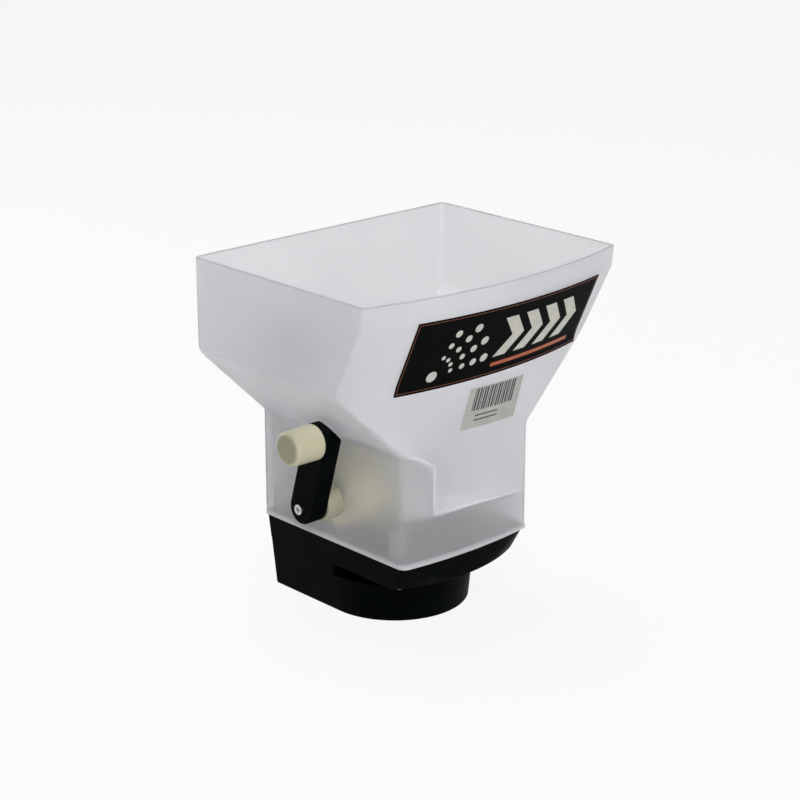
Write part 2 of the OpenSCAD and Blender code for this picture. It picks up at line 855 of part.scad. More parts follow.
module crank_gear() {
    color(ivory) difference() {
        union() {
            on_crank_axis() rotate_extrude($fn = 96) gear_section();
            on_crank_axis(gear_face_x) for (i = [0:gear_teeth - 1]) {
                rotate([0, 0, (i + 0.5) * 360 / gear_teeth]) translate([gear_inner_r, 0, 0]) face_tooth();
            }
            on_crank_axis(hub_x - drive_l) difference() {
                translate([-drive_w / 2, -drive_w / 2, 0]) cube([drive_w, drive_w, drive_l + cut]);
                translate([0, 0, -cut]) cylinder(r = shaft_r + run_fit, h = drive_l + 3 * cut, $fn = smooth);
            }
        }
        pin_hole(gear_pin_x, core_r);
    }
}

module crank_shaft() {
    color(steel) difference() {
        on_crank_axis(shaft_start_x) cylinder(r = shaft_r, h = shaft_end_x - shaft_start_x, $fn = smooth);
        on_crank_axis(shaft_start_x - cut) {
            cylinder(r = crank_screw_r + run_fit, h = crank_screw_l - 2, $fn = fine);
        }
        for (x = [gear_pin_x, agitator_pin_x]) pin_hole(x, shaft_r);
    }
}

// Crank arm, drawn with the crank axis at the origin and the knob along +X of the outline

module arm_outline() {
    end = crank_l + arm_past;
    circle(arm_r, $fn = smooth);
    translate([0, -arm_r]) square([end - arm_corner_r, 2 * arm_r]);
    translate([0, -arm_r + arm_corner_r]) square([end, 2 * (arm_r - arm_corner_r)]);
    for (side = [-1, 1]) {
        translate([end - arm_corner_r, side * (arm_r - arm_corner_r)]) circle(arm_corner_r, $fn = fine);
    }
}

// Bevel on the arm's far end, where it passes under the hopper's slope
function arm_reach(x) = slope_z(-x, 0) - crank_z - arm_clear;

module arm_bevel() {
    inner_x = hub_x + cut;
    on_crank_axis() rotate_extrude($fn = 96) {
        polygon([[arm_reach(inner_x), inner_x], [2 * crank_l, inner_x], [2 * crank_l, arm_x],
            [arm_reach(arm_x), arm_x]]);
    }
}

module crank_arm() {
    color(black) difference() {
        on_crank_axis(arm_x) rotate([0, 0, 180 + crank_lean]) linear_extrude(arm_t) arm_outline();
        on_crank_axis(hub_x - drive_l - seat_gap) {
            side = drive_w + 2 * run_fit;
            translate([-side / 2, -side / 2, 0]) cube([side, side, drive_l + seat_gap + cut]);
        }
        arm_bevel();
        on_crank_axis(arm_x - cut) cylinder(r = crank_screw_r + run_fit, h = arm_t, $fn = fine);
        on_knob_axis(arm_x - cut) cylinder(r = spigot_r + run_fit, h = arm_t + 2 * cut, $fn = smooth);
        on_knob_axis(arm_x + spigot_l - seat_gap) {
            cylinder(r = knob_head_r + seat_gap, h = arm_t, $fn = smooth);
        }
    }
}

module crank_screw() {
    color(steel) on_crank_axis(arm_x) {
        pan_screw(crank_screw_r, crank_screw_l, crank_screw_head_r, crank_screw_head_h);
    }
}

module knob() {
    grip_l = knob_l - seat_gap;
    grip = [[0, 0], [knob_r, 0], [knob_end_r, grip_l], [0, grip_l]];
    spigot_z = -spigot_l - seat_gap;
    color(ivory) on_knob_axis(arm_x - seat_gap) rotate([180, 0, 0]) difference() {
        union() {
            rotate_extrude($fn = smooth) polygon(rounded(grip, [0, 1, knob_round, 0]));
            translate([0, 0, spigot_z]) cylinder(r = spigot_r, h = cut - spigot_z, $fn = smooth);
        }
        translate([0, 0, spigot_z - cut]) {
            cylinder(r = knob_screw_r + run_fit, h = spigot_l + knob_screw_bite + 2 * cut, $fn = fine);
        }
    }
}

module knob_screw() {
    color(steel) on_knob_axis(arm_x + spigot_l) rotate([180, 0, 0]) {
        pan_screw(knob_screw_r, spigot_l + knob_screw_bite - seat_gap, knob_head_r, knob_head_h);
    }
}

module agitator() {
    step = agitator_l / fingers;
    root = shaft_r + 1;
    color(black) difference() {
        union() {
            on_crank_axis(agitator_x) cylinder(r = agitator_hub_r, h = agitator_l, $fn = smooth);
            for (i = [0:fingers - 1]) on_crank_axis(agitator_x + step * (i + 0.5)) {
                rotate([0, 0, 45 + 90 * i]) rotate([0, 90, 0]) translate([0, 0, root]) {
                    cylinder(r = finger_r, h = finger_reach - root, $fn = fine);
                }
            }
        }
        on_crank_axis(agitator_x - cut) {
            cylinder(r = shaft_r + run_fit, h = agitator_l + 2 * cut, $fn = smooth);
        }
        pin_hole(agitator_pin_x, agitator_hub_r);
    }
}

module crank_pins() {
    color(steel) {
        roll_pin(gear_pin_x, core_r, roll_pin_r);
        roll_pin(agitator_pin_x, agitator_hub_r, roll_pin_r);
    }
}

module cover_bush() {
    color(black) on_crank_axis(cover_bush_x) {
        tube(bush_r, shaft_r + run_fit, cover_bush_l);
        translate([0, 0, floor_t]) tube(bush_flange_r, shaft_r + run_fit, bush_flange_t);
    }
}

// Impeller shaft and what turns with it

module impeller_shaft() {
    color(steel) difference() {
        translate([0, 0, shaft_bottom]) cylinder(r = shaft_r, h = shaft_top - shaft_bottom, $fn = smooth);
        for (z = spinner_pin_z) rotate([90, 0, 0]) translate([0, z, -far / 2]) {
            cylinder(r = roll_pin_r + run_fit, h = far, $fn = fine);
        }
    }
}

// Half angle of a pinion tooth at radius r, from the involute of its base circle
function inv(deg) = tan(deg) * 180 / PI - deg;
function tooth_half_deg(r) =
    let (base = pinion_r * cos(pressure_deg), a = r > base ? acos(base / r) : 0)
    tooth_w / 2 / pinion_r * 180 / PI + inv(pressure_deg) - inv(a);

module pinion_outline() {
    root = pinion_r - tooth_down;
    tip = pinion_r + tooth_up;
    steps = 5;
    radii = [for (i = [0:steps]) root + (tip - root) * i / steps];
    polygon([for (t = [0:pinion_teeth - 1], side = [-1, 1], i = [0:steps])
        let (r = radii[side < 0 ? i : steps - i], a = 180 + t * 360 / pinion_teeth + side * tooth_half_deg(r))
        r * [cos(a), sin(a)]]);
}

module pinion() {
    color(ivory) difference() {
        union() {
            translate([0, 0, pinion_z]) linear_extrude(pinion_face) pinion_outline();
            translate([0, 0, pinion_z]) {
                cylinder(r = pinion_hub_r, h = pinion_face + pinion_hub_h, $fn = smooth);
            }
        }
        translate([0, 0, pinion_z - cut]) cylinder(r = shaft_r + run_fit, h = far, $fn = smooth);
        translate([0, far / 2, spinner_pin_z[1]]) rotate([90, 0, 0]) {
            cylinder(r = roll_pin_r + run_fit, h = far, $fn = fine);
        }
    }
}

module vane() {
    vane_t = 2;
    intersection() {
        translate([0, -vane_curve_r, 0]) {
            tube(vane_curve_r + vane_t / 2, vane_curve_r - vane_t / 2, vane_h);
        }
        translate([0, -far, 0]) cube([far, 2 * far, vane_h]);
        cylinder(r = impeller_r - 0.5, h = vane_h, $fn = smooth);
    }
}

module impeller() {
    color(black) difference() {
        translate([0, 0, impeller_z]) union() {
            cylinder(r = impeller_r, h = impeller_t, $fn = 96);
            translate([0, 0, -impeller_hub_down]) {
                cylinder(r = impeller_hub_r, h = impeller_hub_down + impeller_t + vane_h, $fn = smooth);
            }
            for (i = [0:vanes - 1]) {
                rotate([0, 0, i * 360 / vanes]) translate([0, 0, impeller_t - 0.2]) vane();
            }
        }
        cylinder(r = shaft_r + run_fit, h = far, $fn = smooth);
        translate([0, far / 2, spinner_pin_z[0]]) rotate([90, 0, 0]) {
            cylinder(r = roll_pin_r + run_fit, h = far, $fn = fine);
        }
    }
}

module spinner_pins() {
    reach = [impeller_hub_r, pinion_hub_r];
    color(steel) for (i = [0, 1]) {
        translate([0, reach[i], spinner_pin_z[i]]) rotate([90, 0, 0]) {
            cylinder(r = roll_pin_r, h = 2 * reach[i], $fn = fine);
        }
    }
}

module deck_bush() {
    bottom = deck_z - 1;
    color(ivory) {
        translate([0, 0, bottom]) tube(bush_r, shaft_r + run_fit, bush_top - bottom);
        translate([0, 0, tower_top]) tube(bush_flange_r, shaft_r + run_fit, bush_flange_t);
    }
}

module thrust_washer() {
    color(steel) translate([0, 0, washer_z]) tube(bush_flange_r - 0.6, shaft_r + run_fit, washer_t);
}

// Sliding plates

module gate() {
    x0 = port_x + seat_gap;
    x1 = port_x + port_w - seat_gap;
    front = -port_front - plate_lap;
    wide_back = rail_back + 1;
    tail = tail_w / 2;
    tail_y = base_back - base_t - gate_travel - 1;
    color(black) difference() {
        translate([0, 0, gate_z]) linear_extrude(gate_t) {
            polygon([[x0, front], [x1, front], [x1, wide_back], [tail, tail_y], [tail, gate_end],
                [-tail, gate_end], [-tail, tail_y - 10], [x0, wide_back]]);
        }
        slot = tip_r + seat_gap;
        translate([-tip_w / 2 - seat_gap, foot_y - slot, gate_z - cut]) {
            cube([tip_w + 2 * seat_gap, 2 * slot, gate_t + 2 * cut]);
        }
    }
}

module rate_plate() {
    x0 = port_x + seat_gap;
    x1 = port_x + port_w - seat_gap;
    front = port_back + 0.5;
    wide_back = front + rate_body_l;
    end = base_back + rate_travel + rate_tab_out;
    color(black) {
        translate([x0, front, rate_z]) cube([x1 - x0, wide_back - front, rate_t]);
        translate([rate_tail_x - tail_w / 2, wide_back - cut, rate_z]) {
            cube([tail_w, end - wide_back + cut, rate_t]);
        }
        translate([rate_tail_x - tail_w / 2, end - rate_tab_t, rate_z]) {
            cube([tail_w, rate_tab_t, rate_tab_h]);
        }
    }
}

// Handle: one rounded section carried along two arms, two bends and the grip

module grip_section(d) {
    rounded_rect(grip_w, d, grip_round);
}

module bend(y, z, start, d) {
    translate([0, y, z]) rotate([0, -90, 0]) rotate([0, 0, start]) rotate_extrude(angle = 90, $fn = smooth) {
        translate([grip_bend_r, 0]) rotate(90) grip_section(d);
    }
}

module handle_form() {
    d = grip_d;
    arm_end = grip_y - grip_bend_r;
    low_z = arm_low_z;
    along_y(back_y + seat_gap, arm_end) translate([0, handle_top_z]) grip_section(d);
    bend(arm_end, handle_top_z - grip_bend_r, 0, d);
    translate([0, grip_y, low_z + grip_bend_r]) {
        linear_extrude(handle_top_z - low_z - 2 * grip_bend_r) grip_section(d);
    }
    bend(arm_end, low_z + grip_bend_r, 90, d);
    along_y(base_back + seat_gap, arm_end) translate([0, low_z]) grip_section(d);
    along_y(back_y + seat_gap, back_y + seat_gap + flange_d) {
        translate([0, handle_top_z]) rounded_rect(flange_w, flange_h, grip_round);
    }
    along_y(base_back + seat_gap, base_back + seat_gap + flange_d) {
        translate([0, low_z]) rounded_rect(flange_w, arm_low_d - 0.4, grip_round);
    }
}

// Room for the trigger's eye, its swing, its tip and the gate's tail
module handle_hollows() {
    room = trigger_w / 2 + trigger_clear;
    half_d = trigger_d / 2 + trigger_clear;
    spring_end = spring_wire_r + seat_gap;
    translate([-room, pivot_y, pivot_z]) rotate([0, 90, 0]) {
        cylinder(r = trigger_eye_r + trigger_clear, h = 2 * room, $fn = fine);
    }
    along_x(-room, room) {
        polygon([[pivot_y - swing_front, pivot_z], [foot_y - half_d, foot_z - swing_drop],
            [foot_y + gate_travel + half_d, foot_z - swing_drop],
            [pivot_y + half_d, pivot_z - swing_rise], [pivot_y + half_d, pivot_z]]);
    }
    translate([-tail_w / 2 - seat_gap, base_back - cut, gate_z - 1.8]) {
        cube([tail_w + 2 * seat_gap, gate_end + gate_travel + seat_gap - base_back + cut, gate_t + 2.6]);
    }
    translate([spring_x - spring_end, pivot_y, pivot_z]) rotate([0, 90, 0]) {
        cylinder(r = spring_r + 1, h = spring_turns * spring_pitch + 2 * spring_end, $fn = fine);
    }
}

module handle_holes() {
    translate([-far / 2, pivot_y, pivot_z]) rotate([0, 90, 0]) {
        translate([0, 0, far / 2 - grip_w / 2 + 1.5]) {
            cylinder(r = trigger_pin_r + run_fit, h = grip_w - 3, $fn = fine);
        }
    }
    for (p = handle_screw_at) translate([grip_w / 2, p[0], p[1]]) rotate([0, -90, 0]) {
        translate([0, 0, -cut]) cylinder(r = screw_head_r + seat_gap, h = handle_sink + cut, $fn = fine);
        translate([0, 0, handle_sink]) screw_hole(handle_screw_l + 0.5);
    }
    for (x = [-mount_x, mount_x]) {
        translate([x, back_y, handle_top_z]) rotate([-90, 0, 0]) screw_hole(mount_bite);
        translate([x, base_back, mount_low_z]) rotate([-90, 0, 0]) screw_hole(mount_bite);
    }
}

module handle_half(side) {
    intersection() {
        difference() {
            handle_form();
            handle_hollows();
            handle_holes();
        }
        translate([side > 0 ? seat_gap / 4 : -far - seat_gap / 4, -far, 0]) cube([far, 2 * far, far]);
    }
}

module handle_left() {
    color(black) handle_half(-1);
}

module handle_right() {
    color(black) handle_half(1);
}

// Trigger, drawn with its pivot at the origin and hanging straight down, then swung to rest
module trigger_outline() {
    half_d = trigger_d / 2;
    circle(trigger_eye_r, $fn = smooth);
    neck = tip_r - 0.6;
    shoulder_y = trigger_foot_l - trigger_l;
    neck_y = trigger_neck_l - trigger_l;
    polygon([[-half_d, 0], [-half_d, shoulder_y], [-neck, neck_y], [-neck, -trigger_l],
        [neck, -trigger_l], [neck, neck_y], [half_d, shoulder_y], [half_d, 0]]);
    translate([0, -trigger_l]) circle(tip_r, $fn = fine);
}

module trigger() {
    groove_y = groove_depth - groove_r - trigger_d / 2;
    color(black) translate([0, pivot_y, pivot_z]) rotate([-trigger_rest_deg, 0, 0]) difference() {
        union() {
            intersection() {
                along_x(-trigger_w / 2, trigger_w / 2) trigger_outline();
                translate([-far, -far, trigger_tip_l - trigger_l]) cube([2 * far, 2 * far, far]);
            }
            along_x(-tip_w / 2, tip_w / 2) trigger_outline();
        }
        translate([-far / 2, 0, 0]) rotate([0, 90, 0]) {
            cylinder(r = trigger_pin_r + run_fit, h = far, $fn = fine);
        }
        for (i = [0:2]) translate([-far / 2, groove_y, -groove_first - groove_pitch * i]) {
            rotate([0, 90, 0]) cylinder(r = groove_r, h = far, $fn = smooth);
        }
    }
}

module trigger_pin() {
    l = grip_w - 3.4;
    color(steel) translate([-l / 2, pivot_y, pivot_z]) rotate([0, 90, 0]) {
        cylinder(r = trigger_pin_r, h = l, $fn = fine);
    }
}

// Torsion spring: one wire wound round the pivot pin
module trigger_spring() {
    sides = 6;
    per_turn = 16;
    rings = spring_turns * per_turn;
    mid_r = spring_r - spring_wire_r;
    points = [for (i = [0:rings], k = [0:sides - 1]) let (a = 360 * i / per_turn, b = 360 * k / sides,
        r = mid_r + spring_wire_r * cos(b))
        [r * cos(a), r * sin(a), spring_pitch * i / per_turn + spring_wire_r * sin(b)]];
    sheet = [for (i = [0:rings - 1], k = [0:sides - 1])
        let (a = i * sides + k, b = i * sides + (k + 1) % sides)
        each [[a, b, a + sides], [b, b + sides, a + sides]]];
    ends = [[for (k = [sides - 1:-1:0]) k], [for (k = [0:sides - 1]) rings * sides + k]];
    color(steel) translate([spring_x, pivot_y, pivot_z]) rotate([0, 90, 0]) {
        polyhedron(points = points, faces = concat(sheet, ends), convexity = 6);
    }
}

// Screws

module handle_screws() {
    color(steel) for (p = handle_screw_at) {
        translate([grip_w / 2 - handle_sink, p[0], p[1]]) rotate([0, -90, 0]) small_screw(handle_screw_l - 1);
    }
}

module mount_screws() {
    color(steel) for (x = [-mount_x, mount_x]) {
        translate([x, back_y - wall, handle_top_z]) rotate([-90, 0, 0]) small_screw(mount_bite);
        translate([x, base_back - base_t, mount_low_z]) rotate([-90, 0, 0]) small_screw(mount_bite);
    }
}

module hopper_screws() {
    color(steel) posts() translate([0, 0, deck_z]) small_screw(deck_t + screw_bite);
}

module floor_screws() {
    color(steel) for (y = floor_screw_y) {
        translate([floor_screw_x, y, deck_z]) small_screw(floor_boss_z + floor_boss_drop - deck_z);
    }
}

module pan_screws() {
    color(steel) for (y = pan_screw_y) both_sides() {
        translate([pan_screw_x, y, pan_h - screw_bite]) small_screw(screw_bite + deck_t + pan_pillar_h - 3);
    }
}

hopper();
hopper_floor();
base_housing();
base_pan();
crank_gear();
crank_shaft();
crank_arm();
crank_screw();
knob();
knob_screw();
agitator();
crank_pins();
cover_bush();
impeller_shaft();
pinion();
impeller();
spinner_pins();
deck_bush();
thrust_washer();
gate();
rate_plate();
handle_left();
handle_right();
trigger();
trigger_pin();
trigger_spring();
handle_screws();
mount_screws();
hopper_screws();
floor_screws();
pan_screws();
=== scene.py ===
"""Looks of a hand-cranked spreader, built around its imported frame. Sizes are in metres."""

import json
import math

import bmesh
import bpy
import numpy as np
from mathutils import Matrix, Vector
from mathutils.bvhtree import BVHTree

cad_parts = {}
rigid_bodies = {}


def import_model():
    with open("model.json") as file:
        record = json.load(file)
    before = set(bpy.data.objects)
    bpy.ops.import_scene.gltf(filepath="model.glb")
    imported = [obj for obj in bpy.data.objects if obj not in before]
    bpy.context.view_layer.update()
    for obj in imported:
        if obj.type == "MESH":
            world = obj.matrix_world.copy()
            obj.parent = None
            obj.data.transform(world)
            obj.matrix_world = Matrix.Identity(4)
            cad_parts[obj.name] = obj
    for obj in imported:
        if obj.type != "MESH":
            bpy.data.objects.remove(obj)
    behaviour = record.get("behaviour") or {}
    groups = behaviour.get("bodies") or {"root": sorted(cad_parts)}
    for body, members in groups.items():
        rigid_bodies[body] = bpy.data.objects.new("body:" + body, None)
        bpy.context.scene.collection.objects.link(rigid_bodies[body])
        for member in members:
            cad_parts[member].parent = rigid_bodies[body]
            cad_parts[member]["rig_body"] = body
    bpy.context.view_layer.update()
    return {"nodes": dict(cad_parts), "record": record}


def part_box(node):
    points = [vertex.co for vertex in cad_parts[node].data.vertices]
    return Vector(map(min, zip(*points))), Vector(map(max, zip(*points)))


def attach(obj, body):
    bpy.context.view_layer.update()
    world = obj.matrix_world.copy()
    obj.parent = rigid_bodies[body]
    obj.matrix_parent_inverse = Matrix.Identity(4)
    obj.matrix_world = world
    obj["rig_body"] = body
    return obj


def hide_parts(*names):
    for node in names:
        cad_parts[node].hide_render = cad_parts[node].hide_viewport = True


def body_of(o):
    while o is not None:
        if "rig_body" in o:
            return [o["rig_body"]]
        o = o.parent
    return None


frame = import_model()
scene = bpy.context.scene

MM = 0.001

# Camera, as the photograph was taken
CAMERA_AZIMUTH = math.radians(-42.7)
CAMERA_ELEVATION = math.radians(18.7)
CAMERA_DISTANCE = 1611.8 * MM
CAMERA_TARGET = Vector((18.46, 14.19, 143.06)) * MM
CAMERA_LENS = 98.26
CAMERA_SENSOR = 36
CAMERA_REACH = 20

# Lamps, by their place, width and power, and what else lights the object
LAMPS = {"front": ((-0.1, -1.9, 0.35), 1.2, 11), "side": ((-1.2, -1.1, 1.2), 0.7, 8),
         "top": ((0.1, 0.3, 1.9), 1.2, 16), "back": ((-0.3, 1.9, 0.8), 1.2, 8)}
AMBIENT = 0.1
AMBIENT_COLOUR = (0.95, 0.96, 1, 1)
WHITE = (1, 1, 1, 1)
FLOOR_HALF = 6
FLOOR_COLOUR = (0.9, 0.9, 0.9, 1)
FLOOR_ROUGHNESS = 0.9
FLOOR_WHITE = 0.9

# The hopper's walls. Its overall sizes are read from the frame.
hopper_low, hopper_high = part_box("hopper")
HALF_W = hopper_high.x
RIM_Z = hopper_high.z
BACK_Y = hopper_high.y
RIM_FRONT = -hopper_low.y
POST_BOTTOM = hopper_low.z
WALL = 2.2 * MM
SKIRT_Z = 57.5 * MM
SKIRT_TOP_Z = 140 * MM
HALF_SKIRT = 62 * MM
SKIRT_BLEND_R = 5 * MM
CREASE_Z = 197 * MM
CREASE_R = 15 * MM
SKIRT_FRONT = 81 * MM
SHOULDER_FRONT = 91 * MM
SHOULDER_Z = 195 * MM
RIM_BAND = 16 * MM
RIM_LEAN = 1.7 * MM
BOW_Y = 300 * MM
BLEND_R = 60 * MM
BAND_BLEND_R = 25 * MM
RIM_ROUND = 0.7 * MM
RIM_TURNS = [math.radians(turn) for turn in (0, 30, 60, 90)]
SKIRT_CORNER_R = 6.5 * MM
RIM_CORNER_R = 3.5 * MM
BACK_CORNER_R = 5 * MM
LEAST_CORNER_R = 0.6 * MM

# The bead round the skirt's lower edge, and its profile in shares of its height and reach
BEAD_OUT = 0.8 * MM
BEAD_H = 2.2 * MM
BEAD = ((0, 0.35), (0.15, 0.85), (0.4, 1), (0.7, 0.95), (0.95, 0.6), (1.1, 0.12))
LIP_TOP_Z = SKIRT_Z + 1.1 * BEAD_H

# How finely the hopper's skin is divided
LEVEL_GAP = 0.8 * MM
SKIRT_LEVELS = 9
SKIRT_LEVEL_STEP = 9 * MM
CORNER_STEPS = 6
BOW_STEPS = 48
BLEND_STEPS = 9

# What the hopper carries inside
CRANK_Z = 90 * MM
HUB_HOLE_R = 13.38 * MM
HUB_HOLE_L = 12 * MM
RING_R = 18.3 * MM
RING_T = 2.5 * MM
BOSS_R = 8 * MM
BOSS_L = 8 * MM
BOSS_BORE_R = 4.08 * MM
BOSS_BORE_L = 6.4 * MM
POST_X = 50 * MM
POST_Y = (-58 * MM, 65 * MM)
POST_R = 4.4 * MM
POST_BORE_R = 1.86 * MM
POST_TOP = 80 * MM
POST_HOLE_L = 17 * MM
RIB_T = 2 * MM
RIB_Z = 62 * MM
MOUNT_X = 8.8 * MM
MOUNT_Z = 178 * MM
RING_STEPS = 64
BOSS_STEPS = 48
POST_STEPS = 32
HOLE_STEPS = 24

# Where the gear cover's edges meet the front wall, as (across, height), and how deep in the wall
SEAM = [Vector(p) * MM for p in ((-57, 141), (-46.4, 137.2), (-34.8, 129.7), (-34.7, 95), (8.2, 92.4),
                                (57, 88.6))]
SEAM_W = 1.3 * MM
SEAM_TOP = 0.6 * MM
SEAM_LOW = 2.0 * MM
SEAM_STEP = 6 * MM

# The knob's end, and how deep the painted shade on its end face reaches
KNOB_END = -116.5 * MM
KNOB_SHADE_DEPTH = 1.8 * MM

# Stickers on the front wall: their corners as (across, height), from the top left, clockwise
DECAL = [Vector(p) * MM for p in ((-78.4, 248.3), (102.2, 247.7), (108.2, 190.1), (-77.0, 190.4))]
LABEL = [Vector(p) * MM for p in ((-9.6, 183.0), (45.4, 181.1), (40.8, 149.7), (-14.3, 151.8))]
FILM = 0.08 * MM
PRINT = 0.03 * MM

# How far off the wall the back and the face of a sticker and of its print lie
FILM_LAYER = (0.02 * MM, FILM)
PRINT_LAYER = (FILM - 0.01 * MM, FILM + PRINT)

# Where a noise's values mostly lie
NOISE_SPAN = (0.3, 0.7)

# How light enters ivory plastic
IVORY_DEPTH = {"Specular_IOR_Level": 0.6, "Subsurface_Weight": 0.12, "Subsurface_Scale": 2 * MM}

# Edges sharper than this many degrees stay sharp: on the hopper, and on softened nodes and films
SHARP = 32
SHARP_SOFT = 40


class Paint:
    """One material: a Principled shader, and the texture nodes that drive it.

    A noise is given by its scale and detail, and by how much it is squeezed along each axis.
    """

    def __init__(self, name, **sockets):
        self.material = bpy.data.materials.new(name)
        self.material.use_nodes = True
        self.tree = self.material.node_tree
        self.shader = self.tree.nodes["Principled BSDF"]
        self.place = self.tree.nodes.new("ShaderNodeTexCoord").outputs["Object"]
        for socket, value in sockets.items():
            self.shader.inputs[socket.replace("_", " ")].default_value = value

    def noise(self, scale, detail, squeeze=(1, 1, 1)):
        mapping = self.tree.nodes.new("ShaderNodeMapping")
        mapping.inputs["Scale"].default_value = squeeze
        texture = self.tree.nodes.new("ShaderNodeTexNoise")
        texture.inputs["Scale"].default_value = scale
        texture.inputs["Detail"].default_value = detail
        self.tree.links.new(self.place, mapping.inputs["Vector"])
        self.tree.links.new(mapping.outputs["Vector"], texture.inputs["Vector"])
        return texture.outputs["Fac"]

    def rescale(self, source, start, end, low, high):
        """source from start to end, as a number from low to high."""
        node = self.tree.nodes.new("ShaderNodeMapRange")
        node.inputs["From Min"].default_value = start
        node.inputs["From Max"].default_value = end
        node.inputs["To Min"].default_value = low
        node.inputs["To Max"].default_value = high
        self.tree.links.new(source, node.inputs["Value"])
        return node.outputs["Result"]

    def spread(self, noise, low, high):
        return self.rescale(noise, *NOISE_SPAN, low, high)

    def tones(self, noise, dark, light):
        self.colours(noise, *zip(NOISE_SPAN, (dark, light)))

    def colours(self, source, *stops):
        """The base colour from source, by stops of a place from 0 to 1 and a colour."""
        node = self.tree.nodes.new("ShaderNodeValToRGB")
        ramp = node.color_ramp
        while len(ramp.elements) < len(stops):
            ramp.elements.new(0.5)
        for element, (place, colour) in zip(ramp.elements, stops):
            element.position = place
            element.color = (*colour, 1)
        self.tree.links.new(source, node.inputs["Fac"])
        self.tree.links.new(node.outputs["Color"], self.shader.inputs["Base Color"])

    def roughness(self, noise, low, high):
        self.tree.links.new(self.spread(noise, low, high), self.shader.inputs["Roughness"])

    def bump(self, source, depth, strength):
        node = self.tree.nodes.new("ShaderNodeBump")
        node.inputs["Distance"].default_value = depth
        node.inputs["Strength"].default_value = strength
        self.tree.links.new(source, node.inputs["Height"])
        self.tree.links.new(node.outputs["Normal"], self.shader.inputs["Normal"])


def milky_plastic():
    """See-through but cloudy, as the hopper's walls are."""
    paint = Paint("milky_plastic", Transmission_Weight=0.78, IOR=1.3, Specular_IOR_Level=0.3)
    paint.tones(paint.noise(9, 2), (0.85, 0.85, 0.87), (0.9, 0.9, 0.918))
    paint.roughness(paint.noise(45, 3), 0.47, 0.55)
    paint.bump(paint.noise(160, 2), 0.05 * MM, 0.5)
    return paint.material


def edge_plastic(name, dark, light, clear=0.35):
    """The same plastic, letting less light through: painted shade on the rim, painted highlight on the
    skirt's lip, and the gear cover and its seam lines.
    """
    paint = Paint(name, Transmission_Weight=clear, IOR=1.3, Specular_IOR_Level=0.4)
    paint.tones(paint.noise(30, 2), dark, light)
    paint.roughness(paint.noise(45, 3), 0.5, 0.6)
    paint.bump(paint.noise(300, 2), 0.05 * MM, 0.5)
    return paint.material


def black_plastic():
    paint = Paint("black_plastic", Specular_IOR_Level=0.015)
    paint.tones(paint.noise(60, 3), (0.0012, 0.0022, 0.0022), (0.0022, 0.0034, 0.0034))
    paint.roughness(paint.noise(90, 4), 0.42, 0.54)
    paint.bump(paint.noise(1800, 2), 0.03 * MM, 0.6)
    return paint.material


def ivory_plastic(name, dark, light):
    paint = Paint(name, **IVORY_DEPTH)
    paint.tones(paint.noise(70, 3), dark, light)
    paint.roughness(paint.noise(120, 3), 0.28, 0.34)
    paint.bump(paint.noise(300, 2), 0.01 * MM, 0.3)
    return paint.material


def knob_plastic():
    """Ivory plastic with shade painted on it: darker on the knob's end face."""
    paint = Paint("ivory_knob", **IVORY_DEPTH)
    axes = paint.tree.nodes.new("ShaderNodeSeparateXYZ")
    paint.tree.links.new(paint.place, axes.inputs["Vector"])
    blend = paint.tree.nodes.new("ShaderNodeMath")
    blend.operation = "ADD"
    from_end = paint.rescale(axes.outputs["X"], KNOB_END, KNOB_END + KNOB_SHADE_DEPTH, 0, 0.6)
    paint.tree.links.new(from_end, blend.inputs[0])
    paint.tree.links.new(paint.spread(paint.noise(50, 1), 0.17, 0.23), blend.inputs[1])
    # Painted shade: the end face takes the darker tones, the rest of the knob keeps its own tone
    end_shade = (0.1, (0.36, 0.34, 0.215)), (0.3, (0.385, 0.365, 0.235))
    knob_tone = (0.7, (0.59, 0.56, 0.385)), (0.9, (0.62, 0.59, 0.41))
    paint.colours(blend.outputs["Value"], *end_shade, *knob_tone)
    paint.roughness(paint.noise(60, 2), 0.3, 0.32)
    paint.bump(paint.noise(300, 2), 0.01 * MM, 0.3)
    return paint.material


def bright_steel():
    """Steel that is drawn along X."""
    paint = Paint("bright_steel", Metallic=1.0)
    paint.tones(paint.noise(400, 3), (0.42, 0.42, 0.44), (0.56, 0.56, 0.57))
    paint.roughness(paint.noise(700, 4, (1, 8, 8)), 0.18, 0.34)
    paint.bump(paint.noise(3000, 3, (1, 8, 8)), 0.01 * MM, 0.5)
    return paint.material


def dull_steel():
    """Plated screws under the deck and the base."""
    paint = Paint("dull_steel", Metallic=1.0)
    paint.tones(paint.noise(400, 3), (0.16, 0.16, 0.165), (0.24, 0.24, 0.245))
    paint.roughness(paint.noise(700, 4), 0.4, 0.55)
    paint.bump(paint.noise(3000, 3), 0.01 * MM, 0.5)
    return paint.material


def film_paint(name, dark, light, roughness, gloss=0.25):
    paint = Paint(name, Specular_IOR_Level=gloss)
    paint.tones(paint.noise(150, 3), dark, light)
    paint.roughness(paint.noise(250, 3), roughness, roughness + 0.1)
    paint.bump(paint.noise(500, 2), 0.01 * MM, 0.5)
    return paint.material


